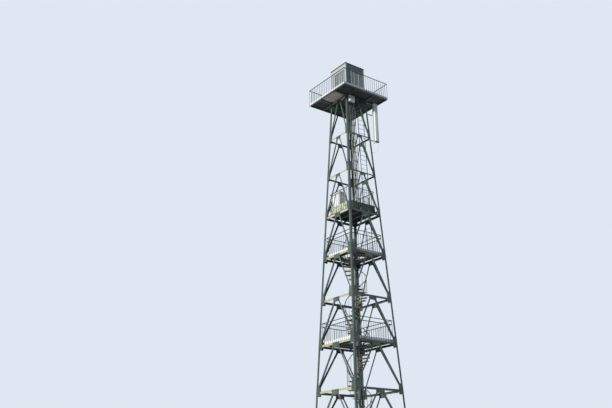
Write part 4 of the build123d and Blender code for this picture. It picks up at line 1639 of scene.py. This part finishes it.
@dataclass(frozen=True)
class CabinWall:
    """One wall of sheet cladding, with its opening, trims and cover strips, modelled as if it were the front one."""

    name: str
    shape: CabinShape
    turn: int
    reach: float
    left: float
    right: float
    foot: float
    head: float
    coat: Coat
    band_coat: Coat
    mullions: tuple[float, ...] = ()
    band: float = 0.34
    drip: float = 0.022
    frame: float = 0.045
    lap: float = 0.006
    strip: float = 0.028
    strip_pitch: float = 0.24
    shortest_strip: float = 0.06
    proud: float = 0.004
    bite: float = 0.002
    mullion_half: float = 0.02
    pane_half: float = 0.0031
    gasket: float = 0.012

    def cladding(self) -> Object:
        """Models the wall sheet with its opening and standing ribs.

        Returns:
            The wall.
        """
        cabin, outer = self.shape, -self.shape.half
        wall = block((-self.reach, outer, cabin.floor), (self.reach, outer + cabin.wall, cabin.eaves))
        opening = block((self.left, outer - 0.1, self.foot), (self.right, outer + 0.2, self.head))
        parts = [soften(carve(wall, opening), 0.002, 1)]
        base, top = cabin.floor + 0.02, cabin.eaves - self.band
        count = round(2 * self.reach / self.strip_pitch)
        for x in (-self.reach + 2 * self.reach * number / count for number in range(1, count)):
            beside = not self.left - self.frame < x < self.right + self.frame
            spans = [(base, top)] if beside else [(base, self.foot - self.frame), (self.head + self.frame, top)]
            parts += [block((x - self.strip / 2, outer - self.proud, low),
                            (x + self.strip / 2, outer + self.bite, high), 0.003, 1)
                      for low, high in spans if high - low > self.shortest_strip]
        return join(parts)

    def band_sheet(self) -> Object:
        """Models the upper band with its drip edge.

        Returns:
            The band.
        """
        outer, low, high = -self.shape.half, self.shape.eaves - self.band, self.shape.eaves
        return join([block((-self.reach, outer - self.proud, low), (self.reach, outer + self.bite, high), 0.002, 1),
                     block((-self.reach, outer - self.shape.trim, low),
                           (self.reach, outer + self.bite, low + self.drip), 0.003)])

    def frame_bars(self) -> Object:
        """Models the frame round the opening, its mullions and its sill.

        Returns:
            The frame.
        """
        face, outer = -self.shape.half, -self.shape.half - self.shape.trim
        side, lap, left, right, foot, head = self.frame, self.lap, self.left, self.right, self.foot, self.head
        low = max(foot - side, self.shape.floor + 0.001)
        bars = [(left - side, low, left + lap, head + side), (right - lap, low, right + side, head + side),
                (left + lap, head - lap, right - lap, head + side)]
        if self.mullions:
            bars.append((left + lap, low, right - lap, foot + lap))
        parts = [block((x, outer + 0.002, z), (far, face + 0.004, top), 0.002, 1) for x, z, far, top in bars]
        parts += [block((x - self.mullion_half, outer + 0.006, foot),
                        (x + self.mullion_half, face + self.shape.wall - 0.004, head), 0.002, 1)
                  for x in self.mullions]
        if self.mullions:
            parts.append(block((left - side - 0.01, outer - 0.002, foot - side - 0.014),
                               (right + side + 0.01, face + 0.004, foot - side + 0.006), 0.002, 1))
        return join(parts)

    def gaskets(self) -> Object:
        """Models the rubber strips that hold the panes.

        Returns:
            The strips.
        """
        middle, rubber = -self.shape.half + self.shape.wall / 2, self.gasket
        starts = [self.left, *(x + self.mullion_half for x in self.mullions)]
        ends = [*(x - self.mullion_half for x in self.mullions), self.right]
        parts = []
        for start, end in zip(starts, ends):
            for near, far in ((middle - rubber, middle - self.pane_half), (middle + self.pane_half, middle + rubber)):
                ring = block((start, near, self.foot), (end, far, self.head))
                hole = block((start + rubber, near - 0.1, self.foot + rubber),
                             (end - rubber, far + 0.1, self.head - rubber))
                parts.append(soften(carve(ring, hole), 0.002, 1))
        return join(parts)

    def build(self) -> None:
        """Builds the wall in place of its CAD node."""
        name = f"cabin_{self.name}"
        finish_piece(turned(self.cladding(), self.turn), f"{name}_cladding", self.coat, f"{name}_wall")
        finish_piece(turned(self.band_sheet(), self.turn), f"{name}_band", self.band_coat)
        finish_piece(turned(self.frame_bars(), self.turn), f"{name}_opening_frame", Coat.TRIM)
        if self.mullions:
            finish_piece(turned(self.gaskets(), self.turn), f"{name}_gaskets", Coat.RUBBER)


@dataclass(frozen=True)
class Cabin:
    """The small cabin on the gallery: four walls, a door and a low hipped roof."""

    shape: CabinShape = CabinShape()
    roof_half: float = 0.75
    fascia: float = 0.075
    fascia_inset: float = 0.008
    roof_rise: float = 0.02
    roof_slope: float = 0.56
    post: float = 0.07
    door_half: float = 0.33
    door_foot: float = 0.01
    door_head: float = 1.81
    door_thickness: float = 0.03
    doorway_head: float = 1.8
    lock_share: float = 0.42
    lock_rail_half: float = 0.05
    end_rail: float = 0.11
    panel_inset: float = 0.1
    handle_height: float = 0.95
    hinge_heights: tuple[float, ...] = (0.2, 0.9, 1.6)

    def walls(self) -> list[CabinWall]:
        """Lists the four walls.

        Returns:
            The front, right, back and left wall.
        """
        cabin = self.shape
        sill, head, side = cabin.floor + cabin.sill, cabin.floor + cabin.head, cabin.half - cabin.wall
        # The front and right walls and their upper bands, away from the sun, get the darker sheet: painted shade
        dark, light = (Coat.DARK_WALL, Coat.DARK_WALL), (Coat.WALL, Coat.TRIM)
        return [CabinWall("front", cabin, 0, cabin.half, -0.29, 0.66, sill, head, *dark, (-0.07, 0.3)),
                CabinWall("right", cabin, 1, side, -0.61, 0.31, sill, head, *dark, (0.16,)),
                CabinWall("back", cabin, 2, cabin.half, -0.31, 0.31, cabin.floor, cabin.floor + self.doorway_head,
                          *light),
                CabinWall("left", cabin, 3, side, -0.31, 0.61, sill, head, *light, (-0.16,))]

    def corner_posts(self) -> Object:
        """Models the angle trims on the four corners.

        Returns:
            The trims in place.
        """
        cabin, outer = self.shape, self.shape.half + self.shape.trim - 0.001
        inside = 0.001 - cabin.half
        post = block((-outer, -outer, cabin.floor + 0.001), (self.post - outer, self.post - outer, cabin.eaves))
        cutter = block((inside, inside, cabin.floor - 1), (0, 0, cabin.eaves + 1))
        return repeat(soften(carve(post, cutter), 0.003), TURNS)

    def roof(self) -> Object:
        """Models the roof sheet on its fascia.

        Returns:
            The roof in place.
        """
        half, low, top = self.roof_half, self.shape.eaves, self.shape.eaves + self.fascia
        edge = half - self.fascia_inset
        sheet = peaked(block((-half, -half, top - 0.02), (half, half, top)), self.roof_slope, self.roof_rise)
        fascia = panelled(block((-edge, -edge, low), (edge, edge, top - 0.019)), 0.012, 0.003,
                          RIGHT, LEFT, BACK, FRONT)
        return join([soften(sheet, 0.003, 2, 60), soften(fascia, 0.002, 1)])

    def door(self) -> Object:
        """Models the door leaf with its two panels.

        Returns:
            The leaf in place at the back.
        """
        low, high = self.shape.floor + self.door_foot, self.shape.floor + self.door_head
        near, far, half = self.shape.half + 0.0003, self.shape.half + self.door_thickness, self.door_half
        lock = low + (high - low) * self.lock_share
        parts = [block((-half, near, low), (half, far - 0.008, high), 0.003)]
        for foot, head in ((low + self.end_rail, lock - self.lock_rail_half),
                           (lock + self.lock_rail_half, high - self.end_rail)):
            panel = block((self.panel_inset - half, near, foot), (half - self.panel_inset, far - 0.004, head))
            parts.append(soften(panelled(panel, 0.03, 0.006, BACK), 0.003))
        return join(parts)

    def door_fittings(self) -> Object:
        """Models the door's lock plate, handle and hinges.

        Returns:
            The fittings in place.
        """
        face, low = self.shape.half + self.door_thickness, self.shape.floor + self.door_foot
        x, z = 0.05 - self.door_half, low + self.handle_height
        parts = [block((x - 0.02, face - 0.01, z - 0.1), (x + 0.02, face - 0.006, z + 0.07), 0.002, 1),
                 rod((x, face - 0.008, z), (x, face - 0.001, z), 0.009),
                 rod((x - 0.008, face - 0.005, z), (x + 0.1, face - 0.005, z), 0.0045, 10)]
        parts += [upright(self.door_half - 0.006, face - 0.009, low + height - 0.04, low + height + 0.04, 0.006, 10)
                  for height in self.hinge_heights]
        return join(parts)

    def build(self) -> None:
        """Builds the cabin in place of its CAD nodes."""
        for wall in self.walls():
            wall.build()
        finish_piece(self.corner_posts(), "cabin_corner_posts", Coat.TRIM)
        finish_piece(self.roof(), "cabin_roof_sheet", Coat.ROOF, "cabin_roof")
        finish_piece(self.door(), "cabin_door_leaf", Coat.WALL, "cabin_door")
        finish_piece(self.door_fittings(), "cabin_door_fittings", Coat.ZINC)
        dress(Coat.GLASS, "cabin_windows")


# Studio


@dataclass(frozen=True)
class Lamp:
    """One far lamp: where its light comes from, how strong it is and how wide it looks in degrees."""

    name: str
    source: Point
    energy: float
    angle: float
    distance: float = 40

    def build(self) -> None:
        """Adds the lamp."""
        choose()
        source = Vector(self.source)
        bpy.ops.object.light_add(type="SUN", location=source * self.distance)
        lamp = bpy.context.active_object
        lamp.name = self.name
        lamp.rotation_euler = source.to_track_quat("Z", "Y").to_euler()
        lamp.data.energy = self.energy
        lamp.data.angle = math.radians(self.angle)


@dataclass(frozen=True)
class Studio:
    """Camera, lamps, sky and floor."""

    eye: Point = (-26.479, -30.941, 2.733)
    heading: float = 36.71
    pitch: float = 20.996
    roll: float = -0.837
    lens: float = 43.33
    sensor: float = 36.0
    farthest: float = 500
    sun: Lamp = Lamp("sun", (-0.9, -0.12, 0.25), 3.5, 4)
    rim: Lamp = Lamp("soft_rim", (0.62, 0.72, 0.35), 0.9, 40)
    sky: str = "dfe8f2"
    ambient: str = "bccbdc"
    ambient_strength: float = 0.4
    floor: str = "d6d6d2"
    floor_reach: float = 12.0

    def camera(self) -> None:
        """Sets the camera where the photograph was taken from."""
        heading, pitch, roll = (math.radians(angle) for angle in (self.heading, self.pitch, self.roll))
        forward = Vector((math.sin(heading) * math.cos(pitch), math.cos(heading) * math.cos(pitch), math.sin(pitch)))
        level = Vector((math.cos(heading), -math.sin(heading), 0))
        right = level * math.cos(roll) + level.cross(forward) * math.sin(roll)
        choose()
        bpy.ops.object.camera_add()
        camera = bpy.context.active_object
        axes = Matrix((right, right.cross(forward), -forward)).transposed().to_4x4()
        camera.matrix_world = Matrix.Translation(self.eye) @ axes
        camera.name = "camera"
        camera.data.lens = self.lens
        camera.data.sensor_width = self.sensor
        camera.data.sensor_fit = "HORIZONTAL"
        camera.data.clip_end = self.farthest
        bpy.context.scene.camera = camera

    def world(self) -> None:
        """Makes a pale sky that lights the tower more softly than it shows."""
        world = bpy.context.scene.world = bpy.data.worlds.new("sky")
        world.use_nodes = True
        tree = world.node_tree
        tree.nodes.remove(tree.nodes["Background"])
        camera, glossy, through = (add_node(tree, "LightPath", (), f"Is {ray} Ray")
                                   for ray in ("Camera", "Glossy", "Transmission"))
        shown = add_node(tree, "Math", (camera, glossy), operation="MAXIMUM")
        seen = add_node(tree, "Math", (shown, through), operation="MAXIMUM")
        lit = add_node(tree, "Background", (self.ambient, self.ambient_strength))
        clear = add_node(tree, "Background", (self.sky, 1.0))
        plug(tree, tree.nodes["World Output"], (add_node(tree, "MixShader", (seen, lit, clear)),))

    def ground(self) -> None:
        """Lays the plain floor."""
        ground = add(bpy.ops.mesh.primitive_plane_add, size=self.floor_reach * 2)
        ground.name = "floor"
        material = bpy.data.materials.new("plain_floor")
        material.use_nodes = True
        plug(material.node_tree, material.node_tree.nodes["Principled BSDF"],
             {"Base Color": self.floor, "Roughness": 0.9})
        ground.data.materials.append(material)

    def build(self) -> None:
        """Sets up the studio."""
        bpy.context.scene.view_settings.view_transform = "Standard"
        self.camera()
        self.sun.build()
        self.rim.build()
        self.world()
        self.ground()


def main() -> None:
    """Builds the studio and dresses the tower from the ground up."""
    logging.basicConfig(level=logging.INFO, format="%(name)s %(message)s")
    Studio().build()
    JumperCable().build()
    BoltedLattice(TowerShape()).build()
    dress(Coat.GREEN, "newel_column", "landing_frames")
    dress(Coat.PALE, "toe_boards")
    for name, landing, riser, angle in (("lower", 5.0857, 0.211904, 562.5), ("middle", 10.0857, 0.208333, 382.5),
                                        ("upper", 15.0857, 0.208333, 202.5)):
        StairFlight(name, landing, riser, angle).build()
        PlankDeck(f"{name}_landing_deck", well_angle=angle).build()
        RailSet(f"{name}_landing_railing", rail_drops=(0.0, 0.215)).build()
    ChannelFrame("equipment_frame", (-0.898, -0.2993, 0.2993, 0.898), (-0.898, 0.898)).build()
    PlankDeck("equipment_deck", hatch=(0.337, -0.62, 0.897, -0.08)).build()
    # The skirt's coat paints sunlight, in pale blotches, on its faces that look to -X
    dress(Coat.MOTTLED, "equipment_skirt")
    RailSet("equipment_railing", bend=0.12).build()
    EquipmentCabinet().build()
    ChannelFrame("gallery_frame", (-1.679, -0.71, 0.71, 1.679), (-1.679, -0.71, 0.71, 1.679)).build()
    PlankDeck("gallery_deck", hatch=(0.1, -0.691, 0.64, -0.131), coat=Coat.GALLERY_DECKING).build()
    RailSet("gallery_railing").build()
    upper_line = LeaningLine(17.6957, 0.87, 25.1163, 0.625)
    Ladder("upper_ladder", upper_line, 0.37, 17.697, 26.0663).build()
    Ladder("lower_ladder", LeaningLine(15.0, 0.967, 17.6957, 0.83), -0.35, 15.087, 18.6457, turn=1).build()
    FeederRun(upper_line).build()
    RadioUnit().build()
    PanelAntenna().build()
    Cabin().build()


if __name__ == "__main__":
    main()
